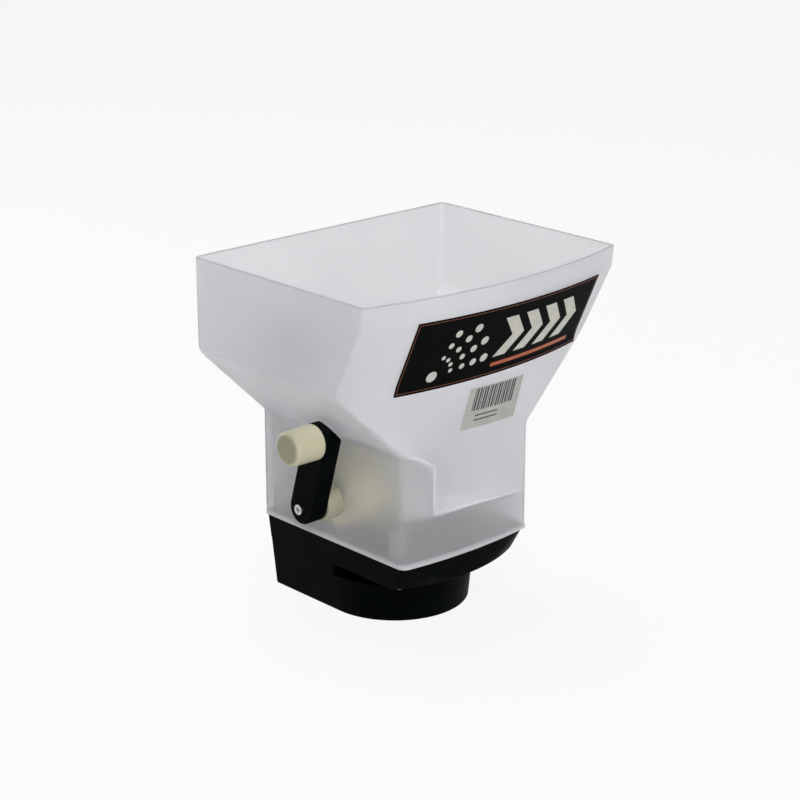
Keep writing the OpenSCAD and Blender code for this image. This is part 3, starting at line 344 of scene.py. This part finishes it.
MILKY = milky_plastic()
# Painted shade: a darker, less clear band of the milky plastic along the rim's top
RIM_SHADE = edge_plastic("milky_rim_painted_shade", (0.60, 0.60, 0.62), (0.66, 0.66, 0.68))
# Painted highlight: a lighter, less clear band of the milky plastic on the skirt's lower lip
LIP_HIGHLIGHT = edge_plastic("milky_lip_painted_highlight", (0.86, 0.86, 0.88), (0.92, 0.92, 0.94))
COVER = edge_plastic("milky_cover", (0.91, 0.91, 0.93), (0.95, 0.95, 0.97), 0.15)
SEAM_WHITE = edge_plastic("milky_seam", (0.94, 0.94, 0.96), (0.97, 0.97, 0.98), 0.0)
BLACK = black_plastic()
IVORY = ivory_plastic("ivory_plastic", (0.585, 0.555, 0.41), (0.62, 0.59, 0.44))
# Painted light: a much lighter copy of the ivory for the gear, standing in for light that reaches it
# through the hopper's wall
GEAR_BRIGHTENED = ivory_plastic("ivory_gear_painted_light", (0.88, 0.80, 0.39), (0.91, 0.84, 0.43))
# Painted shade: a darker copy of the ivory for the gear's hub, where it stands out of the wall
HUB_SHADED = ivory_plastic("ivory_hub_painted_shade", (0.47, 0.445, 0.325), (0.505, 0.48, 0.355))
KNOB = knob_plastic()
STEEL = bright_steel()
DULL = dull_steel()
FILM_BLACK = film_paint("film_black", (0.0032, 0.0038, 0.0038), (0.0045, 0.005, 0.005), 0.5, 0.01)
FILM_ORANGE = film_paint("film_orange", (0.42, 0.085, 0.022), (0.52, 0.12, 0.035), 0.36)
FILM_RUST = film_paint("film_rust", (0.16, 0.045, 0.02), (0.22, 0.07, 0.035), 0.4)
FILM_CREAM = film_paint("film_cream", (0.60, 0.585, 0.52), (0.68, 0.665, 0.60), 0.36)
FILM_BEIGE = film_paint("film_beige", (0.50, 0.49, 0.46), (0.57, 0.56, 0.53), 0.5)
FILM_GREY = film_paint("film_grey", (0.05, 0.05, 0.055), (0.08, 0.08, 0.085), 0.5)

# The material of each slot of the record, and of the nodes that differ from their slot
SLOTS = {part["node"]: part["material_slot"] for part in frame["record"]["subparts"]}
PAINTS = {"milky_plastic": MILKY, "black_plastic": BLACK, "ivory_plastic": IVORY, "bright_steel": STEEL}
NODE_PAINTS = {"hopper_screws": DULL, "pan_screws": DULL, "hopper_floor": COVER, "crank_gear": GEAR_BRIGHTENED,
               "knob": KNOB}

# How wide the edges of moulded nodes are rounded, and which edges that takes
SOFT = {"crank_arm": 1.1 * MM, "base_pan": 0.5 * MM, "base_housing": 0.4 * MM, "handle_left": 0.6 * MM,
        "handle_right": 0.6 * MM, "trigger": 0.5 * MM, "crank_gear": 0.3 * MM, "knob": 0.4 * MM,
        "impeller": 0.3 * MM, "gate": 0.3 * MM, "rate_plate": 0.3 * MM, "crank_screw": 0.15 * MM}
SOFT_FROM = math.radians(28)
SOFT_SEGMENTS = 2
FLAT = math.radians(0.5)
WELD = 0.002 * MM


def node_paint(node):
    return NODE_PAINTS.get(node, PAINTS[SLOTS[node]])


def paint_nodes():
    for node in SLOTS:
        materials = frame["nodes"][node].data.materials
        materials.clear()
        materials.append(node_paint(node))


def finish_mesh(mesh, sharp):
    mesh.shade_smooth()
    mesh.set_sharp_from_angle(angle=math.radians(sharp))


def add_piece(name, mesh, material, body="root"):
    piece = bpy.data.objects.new(name, mesh)
    scene.collection.objects.link(piece)
    mesh.materials.clear()
    mesh.materials.append(material)
    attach(piece, body)
    return piece


def weigh_normals(piece):
    weighted = piece.modifiers.new("weighted_normals", "WEIGHTED_NORMAL")
    weighted.keep_sharp = True


# Rounded lines and the hopper's outline

def arc(centre, radius, start, end, steps):
    turns = [start + (end - start) * i / steps for i in range(steps + 1)]
    return [centre + radius * Vector((math.cos(a), math.sin(a))) for a in turns]


def corner_arc(before, corner, after, radius):
    """Points of the arc of that radius which rounds a corner."""
    u, v = (before - corner).normalized(), (after - corner).normalized()
    half = u.angle(v) / 2
    centre = corner + (u + v).normalized() * (radius / math.sin(half))
    p = corner + u * (radius / math.tan(half)) - centre
    q = corner + v * (radius / math.tan(half)) - centre
    start = math.atan2(p.y, p.x)
    sweep = (math.atan2(q.y, q.x) - start + 3 * math.pi) % (2 * math.pi) - math.pi
    return arc(centre, radius, start, start + sweep, BLEND_STEPS)


def rounded_line(points, radii):
    """The line through the points, each rounded by its radius."""
    points = [Vector(p) for p in points]
    line = []
    for i, (point, radius) in enumerate(zip(points, radii)):
        if radius > 0:
            line += corner_arc(points[i - 1], point, points[i + 1], radius)
        else:
            line.append(point)
    return line


def side_line(inset):
    """Half width against height, for the walls moved inwards by inset."""
    run, rise = HALF_W - HALF_SKIRT, CREASE_Z - SKIRT_TOP_Z
    slope = math.hypot(run, rise)

    def slope_z(x):
        return SKIRT_TOP_Z + inset * run / slope + (x - HALF_SKIRT + inset * rise / slope) * rise / run

    lower, upper = HALF_SKIRT - inset, HALF_W - inset
    points = [(lower, 0), (lower, slope_z(lower)), (upper, slope_z(upper)), (upper, RIM_Z + WALL)]
    return rounded_line(points, (0, SKIRT_BLEND_R + inset, CREASE_R - inset, 0))


def front_line(inset):
    """Radius about the bow's centre against height, for the front wall moved inwards by inset."""
    rim = BOW_Y + RIM_FRONT - inset
    lower = BOW_Y + SKIRT_FRONT - inset
    points = [(lower, 0), (lower, SKIRT_TOP_Z), (BOW_Y + SHOULDER_FRONT - inset, SHOULDER_Z),
              (rim - RIM_LEAN, RIM_Z - RIM_BAND), (rim, RIM_Z), (rim, RIM_Z + WALL)]
    return rounded_line(points, (0, BLEND_R, BLEND_R, BAND_BLEND_R, 0, 0))


def at_height(line, z):
    """The line's distance out at a height."""
    return float(np.interp(z, [p.y for p in line], [p.x for p in line]))


def plan_loop(half_w, bow_r, back_y, corner_r, back_r):
    """One outline of the hopper seen from above, anticlockwise from its back left corner."""
    bow = Vector((0, BOW_Y))
    corner = Vector((half_w - corner_r, 0))
    corner.y = BOW_Y - math.sqrt((bow_r - corner_r) ** 2 - corner.x ** 2)
    lean = math.atan2(corner.y - BOW_Y, corner.x)
    mirror = Vector((-corner.x, corner.y))
    back = Vector((half_w - back_r, back_y - back_r))
    back_left = Vector((-back.x, back.y))
    loop = arc(back_left, back_r, math.pi / 2, math.pi, CORNER_STEPS)
    loop += arc(mirror, corner_r, -math.pi, -math.pi - lean, CORNER_STEPS)
    loop += arc(bow, bow_r, -math.pi - lean, lean, BOW_STEPS)[1:-1]
    loop += arc(corner, corner_r, lean, 0, CORNER_STEPS)
    loop += arc(back, back_r, 0, math.pi / 2, CORNER_STEPS)
    return loop


def hopper_levels():
    """Heights at which the walls get an outline."""
    heights = {round(p.y, 5) for p in side_line(0) + front_line(0)}
    heights |= {round(p.y, 5) for p in side_line(WALL) + front_line(WALL)}
    heights |= {round(SKIRT_Z + BEAD_H * 2 + i * SKIRT_LEVEL_STEP, 5) for i in range(SKIRT_LEVELS)}
    kept = [SKIRT_Z + BEAD_H * 1.5]
    for z in sorted(heights):
        if kept[-1] + LEVEL_GAP < z < RIM_Z - 2 * RIM_ROUND:
            kept.append(z)
    return kept


def corner_radius(z):
    """The front corners' radius, which changes along the slope."""
    share = min(max((z - SKIRT_TOP_Z) / (CREASE_Z - SKIRT_TOP_Z), 0), 1)
    return SKIRT_CORNER_R + share * (RIM_CORNER_R - SKIRT_CORNER_R)


def hopper_loop(z, inset, grow=0.0):
    """The outline at a height, moved inwards by inset and then outwards by grow."""
    side = at_height(side_line(inset), z) + grow
    bow = at_height(front_line(inset), z) + grow
    round_by = max(corner_radius(z) - inset + grow, LEAST_CORNER_R)
    back_round = max(BACK_CORNER_R - inset + grow, LEAST_CORNER_R)
    back = min(BACK_Y - inset + grow, BACK_Y)
    return [Vector((p.x, p.y, z)) for p in plan_loop(side, bow, back, round_by, back_round)]


def hopper_shell():
    """The moulding as one closed skin: up the outside, over the rim, down the inside."""
    levels = hopper_levels()
    rim = [(RIM_ROUND * (1 - math.cos(turn)), RIM_ROUND * (1 - math.sin(turn))) for turn in RIM_TURNS]
    loops = [hopper_loop(SKIRT_Z + up * BEAD_H, 0, BEAD_OUT * out) for up, out in BEAD]
    loops += [hopper_loop(z, 0) for z in levels]
    loops += [hopper_loop(RIM_Z - down, 0, -off) for off, down in rim]
    loops += [hopper_loop(RIM_Z - down, WALL, off) for off, down in reversed(rim)]
    loops += [hopper_loop(z, WALL) for z in reversed(levels)]
    loops.append(hopper_loop(SKIRT_Z, WALL))
    return loops_mesh("hopper_shell", loops)


def loops_mesh(name, loops):
    """A closed skin through loops of as many points each, the last joined to the first."""
    count = len(loops[0])
    faces = []
    for i in range(len(loops)):
        here, there = i * count, (i + 1) % len(loops) * count
        for k in range(count):
            after = (k + 1) % count
            faces.append((here + k, here + after, there + after, there + k))
    mesh = bpy.data.meshes.new(name)
    mesh.from_pydata([p for loop in loops for p in loop], [], faces)
    return mesh


def rod(name, start, end, radius, steps):
    """A closed cylinder between two points."""
    axis = Vector(end) - Vector(start)
    made = bmesh.new()
    bmesh.ops.create_cone(made, cap_ends=True, segments=steps, radius1=radius, radius2=radius,
                          depth=axis.length)
    turn = axis.to_track_quat("Z", "Y").to_matrix().to_4x4()
    bmesh.ops.transform(made, matrix=Matrix.Translation((Vector(start) + Vector(end)) / 2) @ turn,
                        verts=made.verts)
    mesh = bpy.data.meshes.new(name)
    made.to_mesh(mesh)
    made.free()
    return mesh


def block(name, low, high):
    """A box between two corners."""
    made = bmesh.new()
    bmesh.ops.create_cube(made, size=1)
    low, high = Vector(low), Vector(high)
    size = Matrix.Diagonal((*(high - low), 1))
    bmesh.ops.transform(made, matrix=Matrix.Translation((low + high) / 2) @ size, verts=made.verts)
    mesh = bpy.data.meshes.new(name)
    made.to_mesh(mesh)
    made.free()
    return mesh


def carve(mesh, tools):
    """mesh after each tool has been added to it or cut out of it, in turn."""
    piece = bpy.data.objects.new("carved", mesh)
    scene.collection.objects.link(piece)
    helpers = []
    for operation, tool_mesh in tools:
        tool = bpy.data.objects.new("tool", tool_mesh)
        scene.collection.objects.link(tool)
        helpers.append(tool)
        step = piece.modifiers.new("step", "BOOLEAN")
        step.operation = operation
        step.solver = "EXACT"
        step.object = tool
    graph = bpy.context.evaluated_depsgraph_get()
    carved = bpy.data.meshes.new_from_object(piece.evaluated_get(graph))
    for helper in [piece, *helpers]:
        bpy.data.objects.remove(helper)
    return carved


def hopper_tools():
    """What the hopper has on its walls: hub ring, shaft boss, screw posts with ribs, and holes."""
    crank = Vector((0, 0, CRANK_Z))
    across = Vector((1, 0, 0))
    skin = WALL / 2
    tools = []
    ring_start = crank - across * (HALF_SKIRT - skin)
    ring_end = ring_start + across * (skin + RING_T)
    tools.append(("UNION", rod("ring", ring_start, ring_end, RING_R, RING_STEPS)))
    boss_end = crank + across * (HALF_SKIRT - skin)
    tools.append(("UNION", rod("boss", boss_end - across * BOSS_L, boss_end, BOSS_R, BOSS_STEPS)))
    for side in (-1, 1):
        for y in POST_Y:
            post = Vector((side * POST_X, y, 0))
            low, high = post + Vector((0, 0, POST_BOTTOM)), post + Vector((0, 0, POST_TOP))
            tools.append(("UNION", rod("post", low, high, POST_R, POST_STEPS)))
            edges = sorted((side * POST_X, side * (HALF_SKIRT - skin)))
            tools.append(("UNION", block("rib", (edges[0], y - RIB_T / 2, RIB_Z),
                                         (edges[1], y + RIB_T / 2, POST_TOP))))
    outside = crank - across * (HALF_SKIRT + WALL)
    inside = outside + across * HUB_HOLE_L
    tools.append(("DIFFERENCE", rod("hub_hole", outside, inside, HUB_HOLE_R, RING_STEPS)))
    bore_start = boss_end - across * (BOSS_L + skin)
    bore_end = bore_start + across * (skin + BOSS_BORE_L)
    tools.append(("DIFFERENCE", rod("bore", bore_start, bore_end, BOSS_BORE_R, BOSS_STEPS)))
    for side in (-1, 1):
        for y in POST_Y:
            hole = Vector((side * POST_X, y, POST_BOTTOM - WALL))
            hole_end = hole + Vector((0, 0, POST_HOLE_L))
            tools.append(("DIFFERENCE", rod("screw_hole", hole, hole_end, POST_BORE_R, HOLE_STEPS)))
        hole = Vector((side * MOUNT_X, BACK_Y - 2 * WALL, MOUNT_Z))
        hole_end = hole + Vector((0, 3 * WALL, 0))
        tools.append(("DIFFERENCE", rod("mount_hole", hole, hole_end, POST_BORE_R, HOLE_STEPS)))
    return tools


def soften(node, width):
    """A copy of a CAD node with its edges rounded off, which stands in for it."""
    source = frame["nodes"][node]
    made = bmesh.new()
    made.from_mesh(source.data)
    bmesh.ops.remove_doubles(made, verts=made.verts, dist=WELD)
    surface = BVHTree.FromBMesh(made)
    bmesh.ops.dissolve_limit(made, angle_limit=FLAT, verts=made.verts, edges=made.edges)
    weights = made.edges.layers.float.new("bevel_weight_edge")
    for edge in made.edges:
        if len(edge.link_faces) == 2 and edge.calc_face_angle() > SOFT_FROM:
            edge[weights] = 1.0
    mesh = bpy.data.meshes.new(node + "_soft")
    made.to_mesh(mesh)
    made.free()
    blank = bpy.data.objects.new("blank", mesh)
    scene.collection.objects.link(blank)
    bevel = blank.modifiers.new("bevel", "BEVEL")
    bevel.limit_method = "WEIGHT"
    bevel.width = width
    bevel.segments = SOFT_SEGMENTS
    bevel.use_clamp_overlap = False
    graph = bpy.context.evaluated_depsgraph_get()
    rounded = bpy.data.meshes.new_from_object(blank.evaluated_get(graph))
    bpy.data.objects.remove(blank)
    low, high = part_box(node)
    # A bevel can throw a spike at a narrow corner, so a point that strays goes back to the surface
    for vertex in rounded.vertices:
        nearest, _, _, distance = surface.find_nearest(vertex.co)
        place = nearest if distance > width / 2 else vertex.co
        vertex.co = [min(max(place[i], low[i]), high[i]) for i in range(3)]
    finish_mesh(rounded, SHARP_SOFT)
    piece = add_piece(node + "_soft", rounded, node_paint(node), body_of(source)[0])
    weigh_normals(piece)
    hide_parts(node)


def paint_hub_shade():
    """The gear's hub takes a darker copy of the ivory where it stands out of the wall: painted shade."""
    gear = bpy.data.objects["crank_gear_soft"].data
    gear.materials.append(HUB_SHADED)
    for face in gear.polygons:
        if face.center.x < -HALF_SKIRT:
            face.material_index = 1


def bar(start, end, points, faces):
    """Adds a thin closed bar within the front wall, from one (across, height) to another."""
    first = len(points)
    side = (end - start).normalized().orthogonal() * (SEAM_W / 2)
    steps = max(2, round((end - start).length / SEAM_STEP))
    for i in range(steps + 1):
        middle = start.lerp(end, i / steps)
        for edge, lift in ((-side, -SEAM_TOP), (side, -SEAM_TOP), (side, -SEAM_LOW), (-side, -SEAM_LOW)):
            points.append(on_front(*(middle + edge), lift))
    faces.append([first + k for k in range(4)])
    faces.append([first + 4 * steps + k for k in (3, 2, 1, 0)])
    for i in range(steps):
        for k in range(4):
            here, after = first + 4 * i + k, first + 4 * i + (k + 1) % 4
            faces.append([here, here + 4, after + 4, after])


def build_seam():
    """The gear cover's edges press against the front wall and show through it as pale lines."""
    points, faces = [], []
    for start, end in zip(SEAM, SEAM[1:]):
        bar(start, end, points, faces)
    mesh = bpy.data.meshes.new("cover_seam")
    mesh.from_pydata(points, [], faces)
    made = bmesh.new()
    made.from_mesh(mesh)
    bmesh.ops.recalc_face_normals(made, faces=made.faces)
    made.to_mesh(mesh)
    made.free()
    add_piece("cover_seam", mesh, SEAM_WHITE)


def build_hopper():
    mesh = carve(hopper_shell(), hopper_tools())
    finish_mesh(mesh, SHARP)
    piece = add_piece("hopper_shell", mesh, MILKY)
    mesh.materials.append(RIM_SHADE)
    mesh.materials.append(LIP_HIGHLIGHT)
    for face in mesh.polygons:
        # The rim's top faces take the painted shade
        if face.center.z > RIM_Z - RIM_ROUND:
            face.material_index = 1
        # The lip's faces take the painted highlight
        elif SKIRT_Z < face.center.z < LIP_TOP_Z:
            face.material_index = 2
    weigh_normals(piece)
    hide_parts("hopper")


# Stickers

FRONT = front_line(0)


def on_front(across, height, lift):
    """A point of the front wall's face, lifted off it."""
    radius = at_height(FRONT, height)
    step = 0.5 * MM
    lean = (at_height(FRONT, height + step) - at_height(FRONT, height - step)) / (2 * step)
    out = lift / math.hypot(1, lean)
    radius += out
    y = BOW_Y - math.sqrt(radius ** 2 - across ** 2)
    return Vector((across, y, height - lean * out))


class Film:
    """Thin closed films on the front wall, drawn inside four corners and joined into one mesh."""

    def __init__(self, corners):
        self.corners = corners
        self.width = (corners[1] - corners[0]).length
        self.height = (corners[3] - corners[0]).length
        self.clear()

    def clear(self):
        self.points, self.faces = [], []

    def spot(self, right, down, lift):
        """A place on the film, in metres from its top left corner."""
        u, v = right / self.width, down / self.height
        top = self.corners[0].lerp(self.corners[1], u)
        bottom = self.corners[3].lerp(self.corners[2], u)
        return on_front(*top.lerp(bottom, v), lift)

    def patch(self, quad, low, high, columns, rows):
        """A patch between four corners: top left, top right, bottom right, bottom left."""
        first = len(self.points)
        for lift in (high, low):
            for i in range(rows + 1):
                for j in range(columns + 1):
                    top = quad[0].lerp(quad[1], j / columns)
                    bottom = quad[3].lerp(quad[2], j / columns)
                    self.points.append(self.spot(*top.lerp(bottom, i / rows), lift))

        def index(side, i, j):
            return first + (side * (rows + 1) + i) * (columns + 1) + j

        for i in range(rows):
            for j in range(columns):
                cell = [(i, j), (i + 1, j), (i + 1, j + 1), (i, j + 1)]
                self.faces.append([index(0, *c) for c in cell])
                self.faces.append([index(1, *c) for c in reversed(cell)])
        rim = [(0, j) for j in range(columns)] + [(i, columns) for i in range(rows)]
        rim += [(rows, j) for j in range(columns, 0, -1)] + [(i, 0) for i in range(rows, 0, -1)]
        for here, there in zip(rim, rim[1:] + rim[:1]):
            self.faces.append([index(0, *here), index(0, *there), index(1, *there), index(1, *here)])

    def dot(self, centre, radius, low, high, steps):
        first = len(self.points)
        turns = [2 * math.pi * k / steps for k in range(steps)]
        for lift in (high, low):
            for a in turns:
                self.points.append(self.spot(centre.x + radius * math.cos(a),
                                             centre.y + radius * math.sin(a), lift))
        top = [first + k for k in range(steps)]
        bottom = [first + steps + k for k in range(steps)]
        self.faces += [top[::-1], bottom]
        for k in range(steps):
            after = (k + 1) % steps
            self.faces.append([top[k], top[after], bottom[after], bottom[k]])

    def piece(self, name, material):
        """The films drawn so far, as one piece."""
        mesh = bpy.data.meshes.new(name)
        mesh.from_pydata(self.points, [], self.faces)
        self.clear()
        finish_mesh(mesh, SHARP_SOFT)
        add_piece(name, mesh, material)


def rectangle(left, top, right, bottom):
    return [Vector(p) for p in ((left, top), (right, top), (right, bottom), (left, bottom))]


def build_decal():
    """A black film with a thin line round it, a fan of granules, a row of chevrons and a stripe."""
    film = Film(DECAL)
    film.patch(rectangle(0, 0, film.width, film.height), *FILM_LAYER, 64, 20)
    film.piece("decal_film", FILM_BLACK)

    line, inset = 0.5 * MM, 1.6 * MM
    right, low = film.width - inset, film.height - inset
    film.patch(rectangle(inset, inset, right, inset + line), *PRINT_LAYER, 64, 1)
    film.patch(rectangle(inset, low - line, right, low), *PRINT_LAYER, 64, 1)
    film.patch(rectangle(inset, inset + line, inset + line, low - line), *PRINT_LAYER, 1, 20)
    film.patch(rectangle(right - line, inset + line, right, low - line), *PRINT_LAYER, 1, 20)
    film.piece("decal_line", FILM_RUST)

    build_fan(film)
    build_chevrons(film)
    film.piece("decal_motif", FILM_CREAM)
    stripe = rectangle(80 * MM, 48 * MM, 166 * MM, 51 * MM)
    film.patch(stripe, *PRINT_LAYER, 40, 1)
    film.piece("decal_stripe", FILM_ORANGE)


def build_fan(film):
    """Dots on four rays out of one larger dot, each ray's dots growing outwards."""
    source, source_r = Vector((27, 47)) * MM, 4.2 * MM
    first_turn, turn = 8, 21
    first_reach, reach_step = 15 * MM, 9.5 * MM
    first_r, growth = 1.7 * MM, 0.55 * MM
    highest = 8 * MM
    rays, dots = 4, 4
    for ray in range(rays):
        angle = math.radians(first_turn + turn * ray)
        for step in range(dots):
            reach = first_reach + reach_step * step
            centre = source + reach * Vector((math.cos(angle), -math.sin(angle)))
            if centre.y > highest:
                film.dot(centre, first_r + growth * step, *PRINT_LAYER, steps=18)
    film.dot(source, source_r, *PRINT_LAYER, steps=28)


def build_chevrons(film):
    """A row of chevrons, each a slanted arm over a slanted leg."""
    top, middle, bottom = 11 * MM, 27 * MM, 43 * MM
    first, pitch = 79 * MM, 20.5 * MM
    point, thick = 13 * MM, 12 * MM
    count = 4
    for step in range(count):
        left = first + pitch * step
        arm = [Vector((left, top)), Vector((left + thick, top)),
               Vector((left + thick + point, middle)), Vector((left + point, middle))]
        leg = [arm[3], arm[2], Vector((left + thick, bottom)), Vector((left, bottom))]
        film.patch(arm, *PRINT_LAYER, 8, 8)
        film.patch(leg, *PRINT_LAYER, 8, 8)


def build_label():
    """A plain pale sticker with a row of bars and two thin rules."""
    film = Film(LABEL)
    film.patch(rectangle(0, 0, film.width, film.height), *FILM_LAYER, 24, 12)
    film.piece("label_film", FILM_BEIGE)

    left, end = 6 * MM, 47 * MM
    top, bottom = 1 * MM, 18 * MM
    step = 0
    while left < end:
        wide = (0.9 + 0.7 * (step * step % 3)) * MM
        gap = (0.8 + 0.4 * (step % 2)) * MM
        film.patch(rectangle(left, top, left + wide, bottom), *PRINT_LAYER, 1, 5)
        left += wide + gap
        step += 1
    rule, rule_left, rule_right = 1 * MM, 11 * MM, 34 * MM
    for rule_top in (21.5 * MM, 25 * MM):
        film.patch(rectangle(rule_left, rule_top, rule_right, rule_top + rule), *PRINT_LAYER, 8, 1)
    film.piece("label_bars", FILM_GREY)


# Camera, floor and light

def build_camera():
    """The camera looks at its target. back points from the target to the camera."""
    flat = math.cos(CAMERA_ELEVATION)
    back = Vector((math.sin(CAMERA_AZIMUTH) * flat, -math.cos(CAMERA_AZIMUTH) * flat,
                   math.sin(CAMERA_ELEVATION)))
    data = bpy.data.cameras.new("camera")
    data.lens = CAMERA_LENS
    data.sensor_width = CAMERA_SENSOR
    data.clip_end = CAMERA_REACH
    camera = bpy.data.objects.new("camera", data)
    scene.collection.objects.link(camera)
    camera.location = CAMERA_TARGET + back * CAMERA_DISTANCE
    camera.rotation_euler = back.to_track_quat("Z", "Y").to_euler()
    scene.camera = camera


def build_lamp(name, place, size, power):
    """A round soft lamp that faces the camera's target."""
    data = bpy.data.lights.new(name, "AREA")
    data.shape = "DISK"
    data.size = size
    data.energy = power
    lamp = bpy.data.objects.new(name, data)
    scene.collection.objects.link(lamp)
    lamp.location = place
    lamp.rotation_euler = (Vector(place) - CAMERA_TARGET).to_track_quat("Z", "Y").to_euler()


def seen_directly(tree):
    """1 where the camera, a reflection or a see-through surface looks at it, else 0."""
    path = tree.nodes.new("ShaderNodeLightPath")
    total = path.outputs["Is Camera Ray"]
    for ray in ("Is Glossy Ray", "Is Transmission Ray"):
        add = tree.nodes.new("ShaderNodeMath")
        add.operation = "MAXIMUM"
        tree.links.new(total, add.inputs[0])
        tree.links.new(path.outputs[ray], add.inputs[1])
        total = add.outputs["Value"]
    return total


def build_floor():
    """A pale floor that holds shadows, and that shows nearly white where it is seen directly."""
    mesh = bpy.data.meshes.new("floor")
    corners = [(x * FLOOR_HALF, y * FLOOR_HALF, 0) for x, y in ((-1, -1), (1, -1), (1, 1), (-1, 1))]
    mesh.from_pydata(corners, [], [(0, 1, 2, 3)])
    floor = bpy.data.objects.new("floor", mesh)
    scene.collection.objects.link(floor)
    material = bpy.data.materials.new("floor")
    material.use_nodes = True
    tree = material.node_tree
    shader = tree.nodes["Principled BSDF"]
    shader.inputs["Base Color"].default_value = FLOOR_COLOUR
    shader.inputs["Roughness"].default_value = FLOOR_ROUGHNESS
    glow = tree.nodes.new("ShaderNodeEmission")
    mix = tree.nodes.new("ShaderNodeMixShader")
    share = tree.nodes.new("ShaderNodeMath")
    share.operation = "MULTIPLY"
    share.inputs[1].default_value = FLOOR_WHITE
    tree.links.new(seen_directly(tree), share.inputs[0])
    tree.links.new(share.outputs["Value"], mix.inputs["Fac"])
    tree.links.new(shader.outputs["BSDF"], mix.inputs[1])
    tree.links.new(glow.outputs["Emission"], mix.inputs[2])
    tree.links.new(mix.outputs["Shader"], tree.nodes["Material Output"].inputs["Surface"])
    mesh.materials.append(material)


def build_light():
    """The lamps, a weak ambient light, and white where the world is seen directly."""
    world = bpy.data.worlds.new("studio")
    scene.world = world
    world.use_nodes = True
    tree = world.node_tree
    ambient = tree.nodes["Background"]
    ambient.inputs["Color"].default_value = AMBIENT_COLOUR
    ambient.inputs["Strength"].default_value = AMBIENT
    white = tree.nodes.new("ShaderNodeBackground")
    white.inputs["Color"].default_value = WHITE
    mix = tree.nodes.new("ShaderNodeMixShader")
    tree.links.new(seen_directly(tree), mix.inputs["Fac"])
    tree.links.new(ambient.outputs["Background"], mix.inputs[1])
    tree.links.new(white.outputs["Background"], mix.inputs[2])
    tree.links.new(mix.outputs["Shader"], tree.nodes["World Output"].inputs["Surface"])
    for name, (place, size, power) in LAMPS.items():
        build_lamp(name, place, size, power)
    scene.view_settings.view_transform = "Standard"


build_camera()
build_floor()
build_light()
paint_nodes()
build_hopper()
for node, width in SOFT.items():
    soften(node, width)
paint_hub_shade()
build_seam()
build_decal()
build_label()
